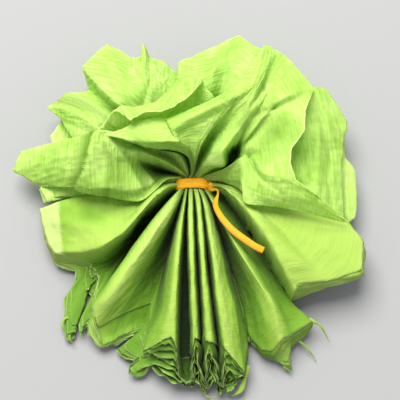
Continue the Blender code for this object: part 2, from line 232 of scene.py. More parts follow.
# the torn tongue between A and B: where the lowest sheet ends, fold by fold
NEAR += [(0.1, 1.0, (75, 273, 4), VALLEY_LEFT, "tongue")]
for _share, _end in ((0.12, (74, 283, 3)), (0.22, (63, 298, 3)), (0.31, (64, 309, 3)), (0.40, (62, 323, 3)),
                     (0.49, (64.5, 342, 3)), (0.58, (74, 342, 3)), (0.67, (75, 318, 3)),
                     (0.78, (81, 304, 3)), (0.90, (87.5, 293, 3))):
    NEAR += [(0.05, 1.0, _end, between(VALLEY_LEFT, VALLEY_MID, _share), "tongue")]
for _share, _end in ((0.0, (92.5, 299, 3)), (0.35, (83, 312, 3)), (0.6, (77, 329, 4)), (0.8, (80, 340, 3)),
                     (1.0, (86, 326, 4))):
    NEAR += [(0.08, 0.98, _end, between(VALLEY_MID, VALLEY_RIGHT, _share), "tongue")]
NEAR += [
    (1.0, 1.0, (88, 337, 6), [(182.6, 187.3, 12.6), (175.8, 200.8, 21), (161.6, 221, 26), (143.4, 247, 28), (124.8, 273, 27), (107.8, 297, 24), (93.5, 308.5, 18)], "even"),
    (0.85, 1.0, (103, 351, 4), [(183.4, 187.6, 12), (177.6, 203, 18), (165.6, 224.6, 23), (148.4, 250.5, 24.5), (130.8, 277, 24), (114, 302.5, 21), (98, 328, 12)], "spread"),
    (0.6, 1.0, (118, 345, 4), [(184, 188, 12), (178.6, 205, 14), (168.6, 228, 16.5), (154.5, 254, 17.5), (140.5, 278, 17.5), (128, 299, 17), (117, 317.5, 13)], "spread"),
    (0.35, 1.0, (132, 338, 4), [(184.6, 188, 11), (179.4, 206, 9), (171.2, 230, 8.5), (160.8, 255, 9), (149.8, 278, 9.5), (140.5, 297, 10), (133, 310, 9.5)], "spread"),
    (0.0, 0.98, (146, 331, 3), [(185.1, 188, 10), (180.1, 207, 6), (173.2, 230, 3.4), (166, 256, 3.2), (160.5, 279, 3.6), (155.5, 294, 4.4), (151, 305, 5)], "spread"),
    (0.1, 1.0, (114, 351, 4), [(185.2, 188, 10), (180.4, 207, 6.5), (173.6, 230, 4), (166.8, 256.5, 3.8), (161.2, 283, 4.6), (155.5, 306, 6.5), (148, 330, 9)], "tongue"),
    (0.1, 1.0, (123, 360, 2), [(185.3, 188.1, 10.5), (180.7, 206.6, 8.5), (174.1, 229.6, 7), (167.7, 256.2, 6.8), (162.2, 283, 7.2), (156.2, 308, 9), (147, 336, 11)], "tongue"),
    (0.3, 1.0, (138, 361, 6), [(185.4, 188.1, 11), (181, 206.4, 11), (174.6, 229, 10.5), (168.5, 255.4, 10.6), (163.2, 283, 11.2), (157.2, 310.6, 12), (146, 342, 11.5)], "tongue"),
    (0.3, 1.0, (124, 371, 5), [(185.5, 188.1, 11.5), (181.4, 206.2, 13), (175.1, 228.6, 13.5), (169.3, 254.8, 14), (164.3, 283, 14.4), (158.3, 312.4, 14.8), (144.6, 346, 12.4)], "tongue"),
    (0.3, 1.0, (136, 381, 2), [(185.6, 188.2, 12), (181.8, 206, 16), (175.6, 228, 17), (170.2, 254, 17.6), (165.6, 283, 17.8), (159.6, 314, 17.6), (143, 351, 13)], "tongue"),
    (0.5, 1.0, (152, 371, 5), [(185.8, 188.2, 12.2), (182.3, 205.4, 18), (176.6, 227, 21), (172, 253.4, 22), (168.4, 283.4, 22.4), (164, 313.6, 22), (153, 346, 16)], "even"),
    (1.0, 1.0, (170, 384, 6), [(186.4, 188, 12.6), (184, 204, 20), (180.8, 224, 25), (177.8, 252, 27), (175, 284, 27), (173, 312, 26), (172, 337, 23)], "even"),
    (0.05, 1.0, (181, 386, 2), [(187.9, 188.5, 10), (186.7, 204, 5), (185.3, 225, 2.6), (183.5, 255, 2), (182, 285, 2), (180.6, 320, 2.2), (180.6, 360, 2.6)], "spread"),
    (0.05, 1.0, (190, 391, 2), [(188.5, 188.5, 10), (187.5, 204, 5), (186.8, 225, 2.6), (187, 255, 2), (187.6, 285, 2), (188.8, 320, 2.2), (190.2, 358, 2.6)], "spread"),
    (1.0, 1.0, (197, 384, 7), [(190.6, 188.5, 12.6), (190.8, 204, 20), (190.8, 225, 24), (191.4, 255, 26), (192.6, 285, 26), (194, 313, 25), (195.2, 338, 22)], "even"),
    (0.0, 1.0, (204, 395, 2), [(192.9, 188.5, 10), (194.4, 204, 6), (195.5, 225, 3.4), (197, 255, 2.6), (198.6, 285, 2.4), (200.3, 313, 2.6), (202.2, 345, 3.6)], "spread"),
    (1.0, 1.0, (213, 384, 7), [(195.4, 188.5, 12.6), (197.8, 204, 20), (199.9, 225, 24), (202.2, 255, 26), (204.4, 285, 26), (206.6, 313, 25), (208.6, 342, 22)], "even"),
    (0.0, 1.0, (221, 396, 2), [(197.6, 189, 10), (201.6, 204, 6), (204.2, 225, 3.4), (207.1, 255, 2.6), (210.1, 285, 2.4), (213.8, 316, 2.6), (218.6, 349, 4)], "spread"),
    (1.0, 1.0, (229, 392, 6), [(199.8, 189, 12.6), (205.2, 204, 20), (209, 225, 24), (213.4, 255, 26), (217.8, 285, 26), (222.4, 316, 25), (226.2, 350, 21)], "even"),
    (0.75, 1.0, (238, 391, 4), [(200.8, 189, 12), (207.4, 204, 18), (212.6, 225.6, 21.5), (218.4, 255.6, 23.5), (224, 285.6, 23.5), (229.6, 316.4, 23), (235.4, 361, 18)], "even"),
    (0.6, 1.0, (243, 382, 4), [(201.6, 189, 11.5), (208.8, 204, 15), (215.4, 226, 17.5), (222.4, 256, 19), (229.4, 286, 20), (236.4, 316, 20), (244.2, 372, 13)], "even"),
    (0.3, 1.0, (245, 364, 4), [(202.4, 189, 10.8), (210, 204, 10), (217.4, 227, 10.5), (225.2, 257, 11.5), (232.8, 286, 12.5), (239.6, 313, 12.5), (247.8, 347, 10)], "even"),
    (0.0, 1.0, (247, 345, 3), [(203, 189, 10), (211, 204, 5), (219, 228, 3), (227.4, 258, 3), (235.6, 286, 4), (241.8, 308, 5), (246.3, 329, 6)], "spread"),
    (0.3, 1.0, (250, 343, 3), [(203.6, 189.1, 10.8), (212, 205, 9), (221.4, 229.4, 8.5), (231.4, 258.6, 9), (240.8, 286, 10), (246.4, 310, 10), (249.5, 336, 8)], "spread"),
    (0.5, 1.0, (263, 357, 3), [(204.2, 189.2, 11.5), (213.2, 206, 13), (224.4, 231, 14), (236.2, 259, 15), (247, 286, 15), (255, 315, 14), (261, 350, 10)], "spread"),
    (0.7, 1.0, (275, 361, 3), [(204.8, 189.3, 12.2), (214.6, 207, 16), (226.6, 231.5, 19), (240, 257.6, 21), (253, 284.6, 21), (263, 311, 20), (272, 352, 12)], "spread"),
    (0.95, 1.0, (292, 371, 4), [(205.4, 189.5, 12.6), (216, 208, 20), (228.2, 232, 25), (242.8, 257, 27), (259.5, 283, 27), (273, 305, 25), (281, 340, 19)], "tongue"),
    (0.6, 1.0, (289, 349, 5), [(206, 189.3, 12), (217.4, 206, 16), (231, 228, 19), (246.2, 251.6, 21), (263, 278, 21), (277.6, 301, 20), (293, 334, 14)], "even"),
    (0.5, 1.0, (307, 335, 4), [(206.6, 189, 11.5), (218.6, 203, 12), (232.6, 221.5, 13), (248.2, 245, 14), (265.5, 271, 15), (285.6, 297, 15), (313, 321.5, 13)], "even"),
    (0.3, 1.0, (303, 323, 4), [(207.2, 188.8, 10.8), (219.4, 199.5, 8.5), (233.6, 216, 8.5), (249, 238, 9), (264, 261.5, 10), (280.6, 285, 12), (299, 316, 13)], "even"),
    (0.0, 1.0, (293, 306, 5), [(208, 188.2, 9.5), (219.8, 194.5, 4.5), (231.4, 208.5, 3.4), (246.6, 230.5, 3.4), (261, 253.5, 6), (275.6, 277.5, 9), (291, 301, 13)], "even"),
    (1.0, 1.0, (294, 303, 12), [(210, 184.5, 11.5), (224, 187.8, 21), (239.5, 200.5, 27), (255, 217, 30), (269, 235, 31), (284, 259, 31), (297.5, 284, 26)], "even"),
    (0.6, 1.0, (332, 289, 16), [(210.4, 184, 13), (236, 195, 20), (262, 213, 24), (284, 234, 25), (300, 252, 25), (315, 267, 25), (329, 281, 24)], "even"),
    (0.6, 1.0, (365, 275, 16), [(210.6, 183.5, 13), (238, 193, 20), (268, 210, 23), (296, 228, 24), (322, 245, 25), (343, 259, 25), (362, 270, 25)], "even"),
    (0.6, 1.0, (366, 246, 16), [(210.8, 183, 12.5), (239, 191, 19), (270, 203, 22), (299, 216, 23), (326, 226, 23), (346, 235, 24), (363, 240, 24)], "even"),
    (0.5, 1.0, (349, 226, 14), [(211, 182.5, 12), (239, 188, 18), (268, 197, 20), (294, 204, 20), (317, 210, 20), (335, 216, 20), (347, 222, 20)], "even"),
]
NEAR_KINDS = np.array([s[0] for s in NEAR])
NEAR_CUT = np.array([s[1] for s in NEAR])
NEAR_MODE = [s[4] for s in NEAR]
# the folds of the middle stack, where the cut ends ruffle most
STACK = np.array([1.0 if 150 <= s[2][0] <= 244 and s[2][1] > 362 else 0.3 if s[2][1] > 335 else 0.0
                  for s in NEAR])
# how far each sheet goes from sheet 1's cut towards the lowest sheet's end
EVEN = np.arange(8) / 7.0
SPREAD = np.array([0.0] + [0.80 + 0.20 * c / 7.0 for c in range(1, 8)])
TONGUE = np.array([0.0, 0.05, 0.12, 0.08, 0.30, 0.78, 0.92, 1.0])
SHARES = {"even": EVEN, "spread": SPREAD, "tongue": TONGUE}
# columns are shared out over the folds; the tongue's small ones need fewer
_step = np.array([0.34 if NEAR_MODE[c] == NEAR_MODE[c + 1] == "tongue" else
                  0.7 if NEAR_KINDS[c] * NEAR_KINDS[c + 1] > 0.05 else 1.0
                  for c in range(len(NEAR) - 1)])
FOLD_U = np.concatenate([[0.0], np.cumsum(_step)]) / _step.sum()


def fold_at(u):
    """Position along the row of folds for a share u of the sheet's width."""
    return np.interp(u, FOLD_U, np.arange(len(NEAR)))


def near_surface(k, cols, rows):
    """Sheet k's near half, from the tie outwards: (rows, cols, 3), arc lengths."""
    s = len(NEAR)
    stations = np.array([[W(*p) for p in spoke[3]] for spoke in NEAR])
    # every sheet below sheet 1 lies a little lower, and looser on the ridges
    drop = (0.42 + 0.62 * NEAR_KINDS)[:, None] * k * MM
    grow = np.linspace(0.5, 1.0, stations.shape[1])[None, :]
    stations[:, :, 2] -= drop * grow
    if k > 0:
        # from sheet 1's end on towards where the lowest sheet ends
        last = np.array([W(*spoke[2]) for spoke in NEAR])
        f = np.array([SHARES[mode][k] for mode in NEAR_MODE])[:, None]
        ends = stations[:, -1] * (1 - f) + last * f
        low = (1.0 - np.minimum(NEAR_KINDS / 0.5, 1.0)) * STACK
        bunch = 5.5 * math.sin(math.pi * k / 7.6) * MM * low * np.minimum(1.0, 1.8 * f[:, 0])
        ends[:, 2] += bunch
        stations[:, -1, 2] += np.minimum(0.45 * bunch, 0.8 * drop[:, 0])
        stations = np.concatenate([stations, ends[:, None]], axis=1)
    stations[:, :, 2] = np.maximum(stations[:, :, 2], 0.0008)
    pos = fold_at(np.linspace(0, 1, cols))
    rows_c = np.stack([pleated(stations[:, j], NEAR_KINDS, pos, k)
                       for j in range(stations.shape[1])])
    cut = NEAR_CUT if k == 0 else np.full(s, 0.992)
    share = np.interp(pos, np.arange(s), cut)
    ruffled = np.interp(pos, np.arange(s), STACK)
    x = pos * 2.6
    jag = (noise(x, 0.0 * x + 3.7 * k, 11) + 0.6 * noise(x * 2.7, 0.0 * x + k, 12)
           + 0.4 * noise(x * 7.0, 0.0 * x + k, 13))
    flaps = (pos > s - 5) | (pos < 2.5)
    share = share + jag * (0.0045 + 0.010 * (k > 0) * (0.5 + ruffled + 1.3 * flaps))
    return along(rows_c, rows, np.clip(share, 0.2, 1.0))


# ---------------------------------------------------------- the far petals
FAR = {}
FAR[0] = [
    [(180.5, 178, 13), (166, 180, 22), (155, 190, 24), (140, 201, 24), (118, 199, 26), (81, 192, 30), (59, 183.5, 24)],
    [(182, 177, 12), (169, 175.5, 11), (160, 177, 14), (150, 184, 23), (133, 190, 30), (93, 187, 36), (40, 187, 16)],
    [(184, 176, 12), (171, 173, 5), (159, 170, 4), (146, 166, 15), (130, 165, 29), (90, 168, 40), (26, 180, 15)],
    [(185.5, 175.3, 14), (176, 169, 22), (164, 162, 27), (151, 156, 30), (134, 151, 32), (88, 151, 43), (12, 171, 13)],
    [(186.6, 174.8, 12), (178.5, 167, 15), (163, 155.5, 19), (147, 149.5, 24), (130, 144.5, 30), (93, 135, 44), (20, 151, 18)],
    [(187.8, 174.5, 14), (184, 164.5, 23), (178, 154.5, 27), (160, 149.5, 23), (137, 143.5, 27), (99, 133, 43), (43, 148, 23)],
    [(189.6, 174, 10), (188.6, 164, 9), (184.5, 155, 9), (168, 150.5, 12), (142, 143.5, 22), (106, 131, 42), (66, 145, 28)],
    [(192.3, 173.4, 14), (191.4, 164, 22), (187, 155.6, 25), (174, 150.2, 28), (156, 149, 34), (129, 142, 44), (114, 131, 44)],
    [(192.8, 173.2, 15), (192.4, 163, 25), (189, 153, 31), (177, 146.8, 37), (162, 144.6, 44), (148, 140.5, 49), (137, 120, 43)],
    [(193.2, 173, 15), (193, 161.5, 26), (190, 151, 34), (181, 145, 41), (172, 142, 46), (165, 139.8, 49), (160, 117, 42)],
    [(193.5, 172, 15), (193.3, 160, 29), (190.5, 150, 36.5), (185, 145, 41), (181, 142.5, 44.5), (178, 140.5, 48), (178.5, 119, 42)],
    [(193.7, 170.5, 15), (194, 159, 31), (191.5, 149, 38), (186.5, 141, 41.5), (179, 134, 45), (171, 128, 49), (164, 119, 44)],
    [(193.8, 169, 16), (195, 158, 33), (197, 145, 41), (199.5, 131, 45.5), (202, 118, 49.5), (203, 110, 53), (200, 105.5, 45)],
    [(194.2, 168.5, 16), (196.2, 157, 33), (201, 142, 41.5), (212, 124, 46.5), (225, 108, 50.5), (232, 96.5, 53.5), (240, 84, 50)],
    [(194.5, 168.5, 16), (197.4, 156.5, 33), (203.5, 141.5, 41.5), (219, 119.5, 47), (240, 100, 51), (254, 82.5, 53), (265, 45, 37)],
    [(194.9, 169, 13), (198, 157, 16), (202.5, 146, 22), (212, 131, 36), (232, 110, 47.5), (257, 83, 53), (270, 45.5, 37)],
    [(195.8, 170.5, 12), (200, 160, 14), (205.5, 149, 21), (214.5, 135, 34.5), (234, 115, 46.5), (258, 88, 52.5), (275, 48.5, 37)],
    [(197.5, 172.5, 14), (203, 165.5, 26.5), (209.5, 157, 33.5), (217, 145, 39.5), (231, 129, 45), (251, 107, 50), (280, 51, 37)],
    [(200, 174.5, 15), (210, 167.5, 27), (223.5, 166, 34), (223.5, 152, 41), (234, 136, 44.5), (256, 104, 50.5), (286, 54, 37)],
    [(202.5, 175.5, 13), (215, 171, 12), (227, 165.5, 6), (232, 154, 9), (241, 138, 38), (268, 96, 49), (297, 68, 36)],
    [(204.5, 176, 13), (219, 171, 14), (231, 164.5, 8), (237, 154, 12), (246, 139, 40), (282, 98, 49), (315, 88, 37)],
    [(206, 176.2, 15), (217, 172, 23), (229, 167.5, 27), (239.5, 160, 28), (246, 142, 37), (276, 112, 47), (307, 110, 49)],
    [(207, 176.6, 15), (222, 170.5, 26), (236, 163, 31), (243, 157, 33), (250, 145, 40), (284, 123, 47), (306, 130, 50)],
    [(207.6, 177, 15), (226, 168.5, 27), (240.5, 158.5, 34), (249, 157, 36), (262, 152, 41), (281, 142, 46), (293, 148, 48)],
    [(208.2, 177.5, 15), (228, 168.5, 27), (241.5, 158.5, 35), (254, 162, 37), (266, 165, 41), (279, 160, 45), (291, 163, 47)],
    [(208.8, 178, 15), (229, 169.5, 26), (242, 160, 35), (257, 168, 37), (266, 174, 41), (282, 177, 44), (297, 180.5, 44)],
    [(209.3, 178.5, 15), (229, 171, 25), (242, 163, 35), (254, 175, 36), (268, 184, 39), (298, 187, 42), (320, 199, 38)],
    [(209.8, 179, 15), (229, 174, 24), (242, 171, 34), (247, 184, 34.5), (268, 193, 37), (308, 200, 38), (346, 220, 29)],
    [(210.3, 179.8, 14), (226, 179, 20), (241, 182, 32), (244.5, 193, 33), (264, 200, 34), (302, 207, 33), (346, 221.5, 28)],
    [(210.8, 180.8, 13), (224, 182.5, 14), (241.5, 191, 27), (245, 203, 31), (268, 206, 31), (303, 212, 30), (345, 223, 27)],
]
FAR[1] = [
    [(181, 180, 12), (160, 186, 14), (130, 192, 17), (100, 195, 19), (75, 197, 19), (56, 197, 17), (44, 204, 13)],
    [(183, 178, 12), (158, 178, 13), (130, 179, 17), (100, 176, 22), (75, 173, 25), (58, 178, 20), (38, 190, 13)],
    [(185, 176, 12), (160, 169, 13), (135, 162, 18), (112, 152, 25), (94, 146, 32), (82, 145, 32), (76, 150, 26)],
    [(186.5, 175.5, 12), (164, 161, 15), (143, 151, 19), (126, 142, 25), (112, 134, 33), (102, 130, 38), (98, 128, 38)],
    [(187.5, 175.2, 12), (167, 159, 16), (148, 147.5, 20.5), (132.5, 137.5, 27), (120.5, 127, 36), (112, 115.5, 44), (115.5, 108.5, 47)],
    [(188, 175, 12), (170, 157, 17), (153, 144, 22), (139, 134, 29), (127, 122, 40), (120.5, 105.5, 48), (130.5, 121, 50)],
    [(189, 174, 12), (175, 153, 18), (162, 139, 23), (152, 128, 31), (144, 118, 41), (136.5, 107.5, 48), (145, 113.5, 50)],
    [(190, 173.5, 12), (180, 151, 19), (170, 135, 25), (164, 123, 33), (160, 112, 41), (155.5, 102, 48), (161, 112.5, 51)],
    [(191, 173, 12), (185, 150, 19), (178, 132, 25), (174, 118, 33), (171, 102, 41), (170, 89, 47), (172, 107.5, 52)],
    [(192, 172.5, 12), (189, 150, 19), (185, 130, 25), (183, 114, 32), (181, 94, 39), (181.5, 78.5, 45), (182.5, 102.5, 51)],
    [(193, 172, 12), (193, 150, 19), (192, 130, 25), (192, 114, 31), (191, 95, 38), (192.5, 77.5, 43.5), (194, 91.5, 49)],
    [(194, 171.5, 12), (197, 150, 18), (199, 130, 24), (200, 114, 30), (200, 98, 36), (202, 81, 42), (203, 82.5, 42.5)],
    [(195, 171.5, 12), (202, 150, 17), (208, 134, 22), (211.5, 122, 27), (214, 114, 31), (216, 107, 34), (218, 101, 34)],
    [(196.5, 172, 12), (207, 152, 16), (218, 134, 20), (227, 119, 25), (234, 108, 29), (240, 100, 32), (245, 93, 31)],
    [(198, 172.5, 12), (214, 152, 15), (233, 133, 18), (250, 117, 23), (264, 104, 30), (276, 95, 34), (289, 86, 30)],
    [(200, 173, 12), (222, 155, 13), (248, 138, 16), (270, 120, 24), (289, 105, 34), (306, 93, 38), (327, 88, 27)],
    [(201.5, 174, 12), (227, 159, 12), (255, 144, 16), (280, 130, 24), (300, 118, 32), (319, 112, 33), (348, 122, 22)],
    [(203, 175, 12), (230, 164, 12), (260, 152, 16), (286, 142, 26), (305, 137, 31), (322, 137, 30), (345, 142, 21)],
    [(204, 176, 12), (232, 168, 12), (262, 162, 16), (288, 158, 28), (306, 157, 31), (322, 158, 28), (343, 160, 20)],
    [(205, 177, 12), (233, 173, 13), (264, 172, 17), (291, 173, 30), (308, 178, 31), (324, 183, 27), (343, 187, 19)],
    [(206, 178, 12), (234, 178, 13), (266, 184, 17), (296, 190, 26), (314, 198, 28), (328, 205, 25), (344, 212, 18)],
    [(207, 179.5, 12), (235, 184, 13), (268, 194, 16), (298, 203, 20), (316, 210, 22), (330, 216, 21), (345, 223, 17)],
]
FAR[2] = [
    [(182, 179, 11), (158, 180, 12), (130, 178, 15), (100, 172, 18), (78, 165, 19), (66, 158, 17), (62, 152, 15)],
    [(184, 178, 11), (158, 170, 12), (130, 160, 17), (108, 150, 23), (94, 144, 29), (84, 143, 29), (75, 144, 25)],
    [(186, 177, 11), (160, 162, 12), (134, 148, 18), (112, 135, 26), (98, 128, 33), (80, 123, 29), (60, 119, 21)],
    [(187, 176, 11), (163, 158, 13), (138, 142, 19), (116, 127, 27), (101, 121, 34), (76, 111, 28), (45, 107, 17)],
    [(187.6, 175, 11), (166, 154, 13), (143, 136, 20), (121, 121, 28), (106, 113, 33), (85, 101, 29), (64, 95, 19)],
    [(188, 174, 11), (168, 152, 13), (147, 133, 20), (127, 119, 26), (113, 109, 26), (100, 98, 23), (89, 91, 18)],
    [(189, 173, 11), (171, 150, 14), (152, 130, 21), (132, 114, 30), (116, 103, 37), (98, 85, 34), (81, 66, 25)],
    [(190, 173, 11), (174, 148, 14), (158, 127, 21), (140, 108, 31), (125, 90, 37), (115, 66, 33), (107, 43, 25)],
    [(190.4, 172, 11), (176.5, 146, 14), (161.5, 125.5, 21), (146, 107, 31), (135, 90, 36), (131, 73, 32), (131, 57, 26)],
    [(190.8, 172, 11), (178, 145.5, 14), (164.5, 124, 21), (150.5, 104.5, 30), (142, 88, 34.5), (138.5, 71, 31), (140.5, 55.5, 24.5)],
    [(191, 172, 11), (179, 145, 14), (167, 123, 21), (154.5, 102.5, 29), (149, 86, 33), (146, 66, 29.5), (143.3, 41, 23)],
    [(191.2, 172, 11), (180, 144.5, 14), (169, 122, 20.5), (158, 101.5, 28), (154.5, 86, 31), (153.5, 70, 27.5), (151, 57, 22.5)],
    [(191.5, 172, 11), (181, 144, 14), (171.5, 121, 20), (162.5, 101, 26.5), (160.5, 87, 29), (163, 73, 25), (166, 61, 19)],
    [(192, 172, 11), (183, 143, 14), (176, 120, 19), (170, 102, 24), (169, 92, 26), (173, 83, 23), (178, 73, 17)],
    [(193, 171, 11), (187, 142, 13), (184, 118, 17), (183, 100, 22), (181, 87, 28), (179, 74, 29), (178, 62, 24)],
    [(194, 171, 11), (191, 141, 13), (191, 116, 17), (192, 96, 24), (193, 80, 29), (194, 67, 27), (194, 55, 21)],
    [(195, 171, 11), (197, 140, 13), (201, 114, 18), (205, 92, 29), (210, 74, 31), (216, 57, 27), (222, 41, 21)],
    [(196, 171, 11), (202, 139, 13), (211, 113, 17), (220, 90, 27), (228, 70, 28.5), (234, 52, 25), (240, 35, 20)],
    [(197, 171, 11), (207, 140, 13), (221, 114, 17), (234, 92, 26), (244, 73, 28), (250, 59, 24), (255, 46, 18)],
    [(198, 172, 11), (213, 142, 12), (232, 116, 16), (248, 96, 24), (262, 80, 24), (275, 68, 21), (286, 56, 16)],
    [(199, 172, 11), (220, 147, 12), (243, 124, 15), (264, 108, 17), (282, 98, 18), (300, 92, 17), (318, 90, 15)],
    [(201, 173, 11), (226, 154, 12), (254, 138, 14), (280, 127, 17), (303, 121, 18), (325, 119, 18), (345, 125, 14)],
    [(203, 174, 11), (230, 162, 12), (260, 152, 14), (288, 147, 17), (312, 146, 19), (332, 149, 18), (346, 158, 14)],
    [(204, 175, 11), (232, 168, 12), (262, 164, 14), (292, 164, 18), (316, 166, 20), (336, 168, 19), (356, 171, 15)],
    [(205, 176, 11), (233, 174, 12), (264, 176, 14), (294, 182, 18), (318, 188, 20), (338, 192, 19), (358, 196, 15)],
    [(206, 178, 11), (234, 180, 12), (264, 187, 14), (294, 197, 17), (316, 206, 18), (336, 212, 16), (357, 218, 14)],
    [(207, 180, 11), (234, 184, 12), (264, 192, 14), (294, 202, 15), (316, 211, 16), (334, 217, 15), (347, 225, 13)],
]
# The lowest sheets spread flat; their rims, clockwise from the left.
LOW_RIM = [(42, 203), (37, 188), (44, 170), (52, 144), (45, 135), (60, 120), (66, 108), (80, 94), (90, 80),
           (102, 62), (122, 56), (142, 60), (160, 66), (176, 76), (190, 68), (210, 56), (232, 47), (252, 52),
           (272, 54), (290, 66), (308, 84), (326, 92), (340, 112), (346, 134), (348, 152), (352, 172),
           (354, 192), (352, 208), (346, 222)]


def low_spokes(k):
    """Spokes for sheets 4 to 8, which lie under the petals."""
    spokes = []
    n = len(LOW_RIM)
    level = (7 - k) / 4.0              # 1 for sheet 4, 0 for sheet 8
    shrink = 0.955 - 0.012 * (k - 3) if k > 3 else 0.99
    for i, (px, py) in enumerate(LOW_RIM):
        f = i / (n - 1)
        x0, y0 = 182.0 + 25.0 * f, 180.0 - 8.0 * math.sin(math.pi * f)
        # the sheets share their folds, so that they nest, and differ a little
        wave = (math.sin(1.73 * i + 0.6) + 0.7 * math.sin(0.91 * i * i / (i + 6.0) + 2.0)
                + 0.35 * math.sin(2.7 * i + 1.9 * k))
        ripple = math.sin(3.1 * i + 1.7 * k) + 0.6 * math.sin(1.3 * i + 2.9 * k)
        stretch = shrink - 0.012 + 0.016 * ripple
        ex, ey = 192 + (px - 192) * stretch, 178 + (py - 178) * stretch
        spoke = []
        for t in (0.0, 0.17, 0.35, 0.53, 0.70, 0.86, 1.0):
            z = 11.0 - (k - 2) * 1.3
            top = 2.5 + 11.0 * level
            z = z + (top - z) * float(smooth(t * 1.6)) + (1.5 + 0.9 * level) * wave * t * t
            z += 1.1 * math.sin(2.3 * i + 2.6 * k) * t * t * t
            bend = 3.0 * math.sin(math.pi * t) * math.sin(1.1 * i + 0.7 * k)
            dx, dy = ex - x0, ey - y0
            size = math.hypot(dx, dy)
            spoke.append((x0 + dx * t - bend * dy / size,
                          y0 + dy * t + bend * dx / size, max(z, 0.8)))
        spokes.append(spoke)
    return spokes


for _k in range(3, 8):
    FAR[_k] = low_spokes(_k)


def far_surface(k, cols, rows):
    spokes = np.array([[W(*p) for p in spoke] for spoke in FAR[k]])
    count = spokes.shape[1]
    rows_c = []
    for j in range(count):
        soft = (0.35 if k == 0 else 0.45) if j < count - 1 else 0.08
        rows_c.append(across(spokes[:, j], cols, soft))
    rows_c = np.stack(rows_c)
    pos = np.linspace(0, 1, cols) * 60.0
    jag = (0.5 * noise(pos, 0 * pos + k, 21) + 0.35 * noise(pos * 3.1, 0 * pos + k, 22)
           + 0.25 * noise(pos * 9.0, 0 * pos + k, 23))
    share = 0.993 + 0.006 * jag
    return along(rows_c, rows, share)


# ------------------------------------------------------------ sheet meshes
THICK = 0.00022


def throat_row(k, cols):
    """The row of points in the middle of the tie."""
    s = len(NEAR)
    u = np.linspace(0, 1, cols)
    ridge = np.interp(fold_at(u), np.arange(s), NEAR_KINDS)
    x = (-7.0 + 14.0 * u) * MM
    z = (8.2 + 3.6 * ridge - 1.05 * k - 2.0 * (2 * u - 1) ** 2) * MM
    return np.stack([x, np.zeros(cols), np.maximum(z, 0.0012)], 1)


def sheet_grid(k, cols, near_rows, far_rows):
    near, near_len = near_surface(k, cols, near_rows)
    far, far_len = far_surface(k, cols, far_rows)
    middle = throat_row(k, cols)
    gap_n = np.linalg.norm(near[0] - middle, axis=1)
    gap_f = np.linalg.norm(far[0] - middle, axis=1)
    grid = np.concatenate([near[::-1], middle[None], far])
    v = np.concatenate([-(near_len + gap_n)[::-1], np.zeros((1, cols)), far_len + gap_f])
    return grid, v


def normals_of(grid):
    du = np.gradient(grid, axis=1)
    dv = np.gradient(grid, axis=0)
    n = np.cross(du, dv)
    size = np.linalg.norm(n, axis=2, keepdims=True)
    return n / np.maximum(size, 1e-12)


# Creases that stand out in the photograph: the line each follows there, how
# wide it is on each side in its pixels, and how high it stands in millimetres.
CREASES = {
    0: [
        ([(263.6, 88), (268, 96), (273, 107)], 3.5, -1.4),
        ([(251.5, 115), (272, 109), (301, 96)], 4.0, -1.8),
        ([(248, 155), (257.6, 172), (264, 181)], 3.0, -2.2),
        ([(262, 182), (268, 200)], 3.5, 1.0),
        ([(272, 182), (276, 190)], 2.5, -1.0),
        ([(279, 181), (283, 191)], 2.5, 1.0),
        ([(295, 169), (304, 183), (316, 196)], 4.0, 1.6),
        ([(214, 140), (226, 124), (243, 108)], 4.0, -1.2),
        ([(182, 132), (200, 122), (222, 110)], 4.0, -0.9),
    ],
    1: [
        ([(171, 88), (173, 106)], 4.0, -0.7),
        ([(312, 92), (322, 120), (325.5, 139), (331, 152)], 4.5, -1.5),
        ([(318, 128), (319, 160), (317, 190)], 4.5, 1.2),
        ([(330, 150), (328, 180), (333, 214)], 4.5, -1.3),
        ([(60, 205), (58, 240)], 5.0, 1.0),
    ],
    2: [
        ([(108, 66), (122, 96), (134, 118)], 5.0, 1.2),
        ([(148, 56), (150, 80), (143, 104)], 5.0, -1.5),
        ([(92, 78), (110, 102), (118, 118)], 5.0, -1.2),
        ([(60, 108), (84, 118), (98, 130)], 5.0, 1.2),
        ([(46, 122), (70, 124), (90, 132)], 4.5, -1.1),
        ([(238, 42), (237, 60), (228, 84)], 6.0, -0.9),
        ([(222, 48), (218, 64), (206, 88)], 6.0, 1.0),
        ([(214, 68), (212, 84), (211, 104)], 5.0, 1.3),
        ([(222, 76), (220, 92), (216, 104)], 5.0, -0.8),
        ([(206, 80), (206, 96), (206, 108)], 4.0, -0.8),
        ([(258, 50), (248, 72), (238, 88)], 6.0, 1.4),
        ([(196, 58), (195, 76), (192, 92)], 5.0, -1.2),
        ([(340, 124), (338, 150), (342, 176)], 4.0, 1.2),
        ([(346, 176), (346, 200), (344, 222)], 4.0, -1.1),
    ],
}


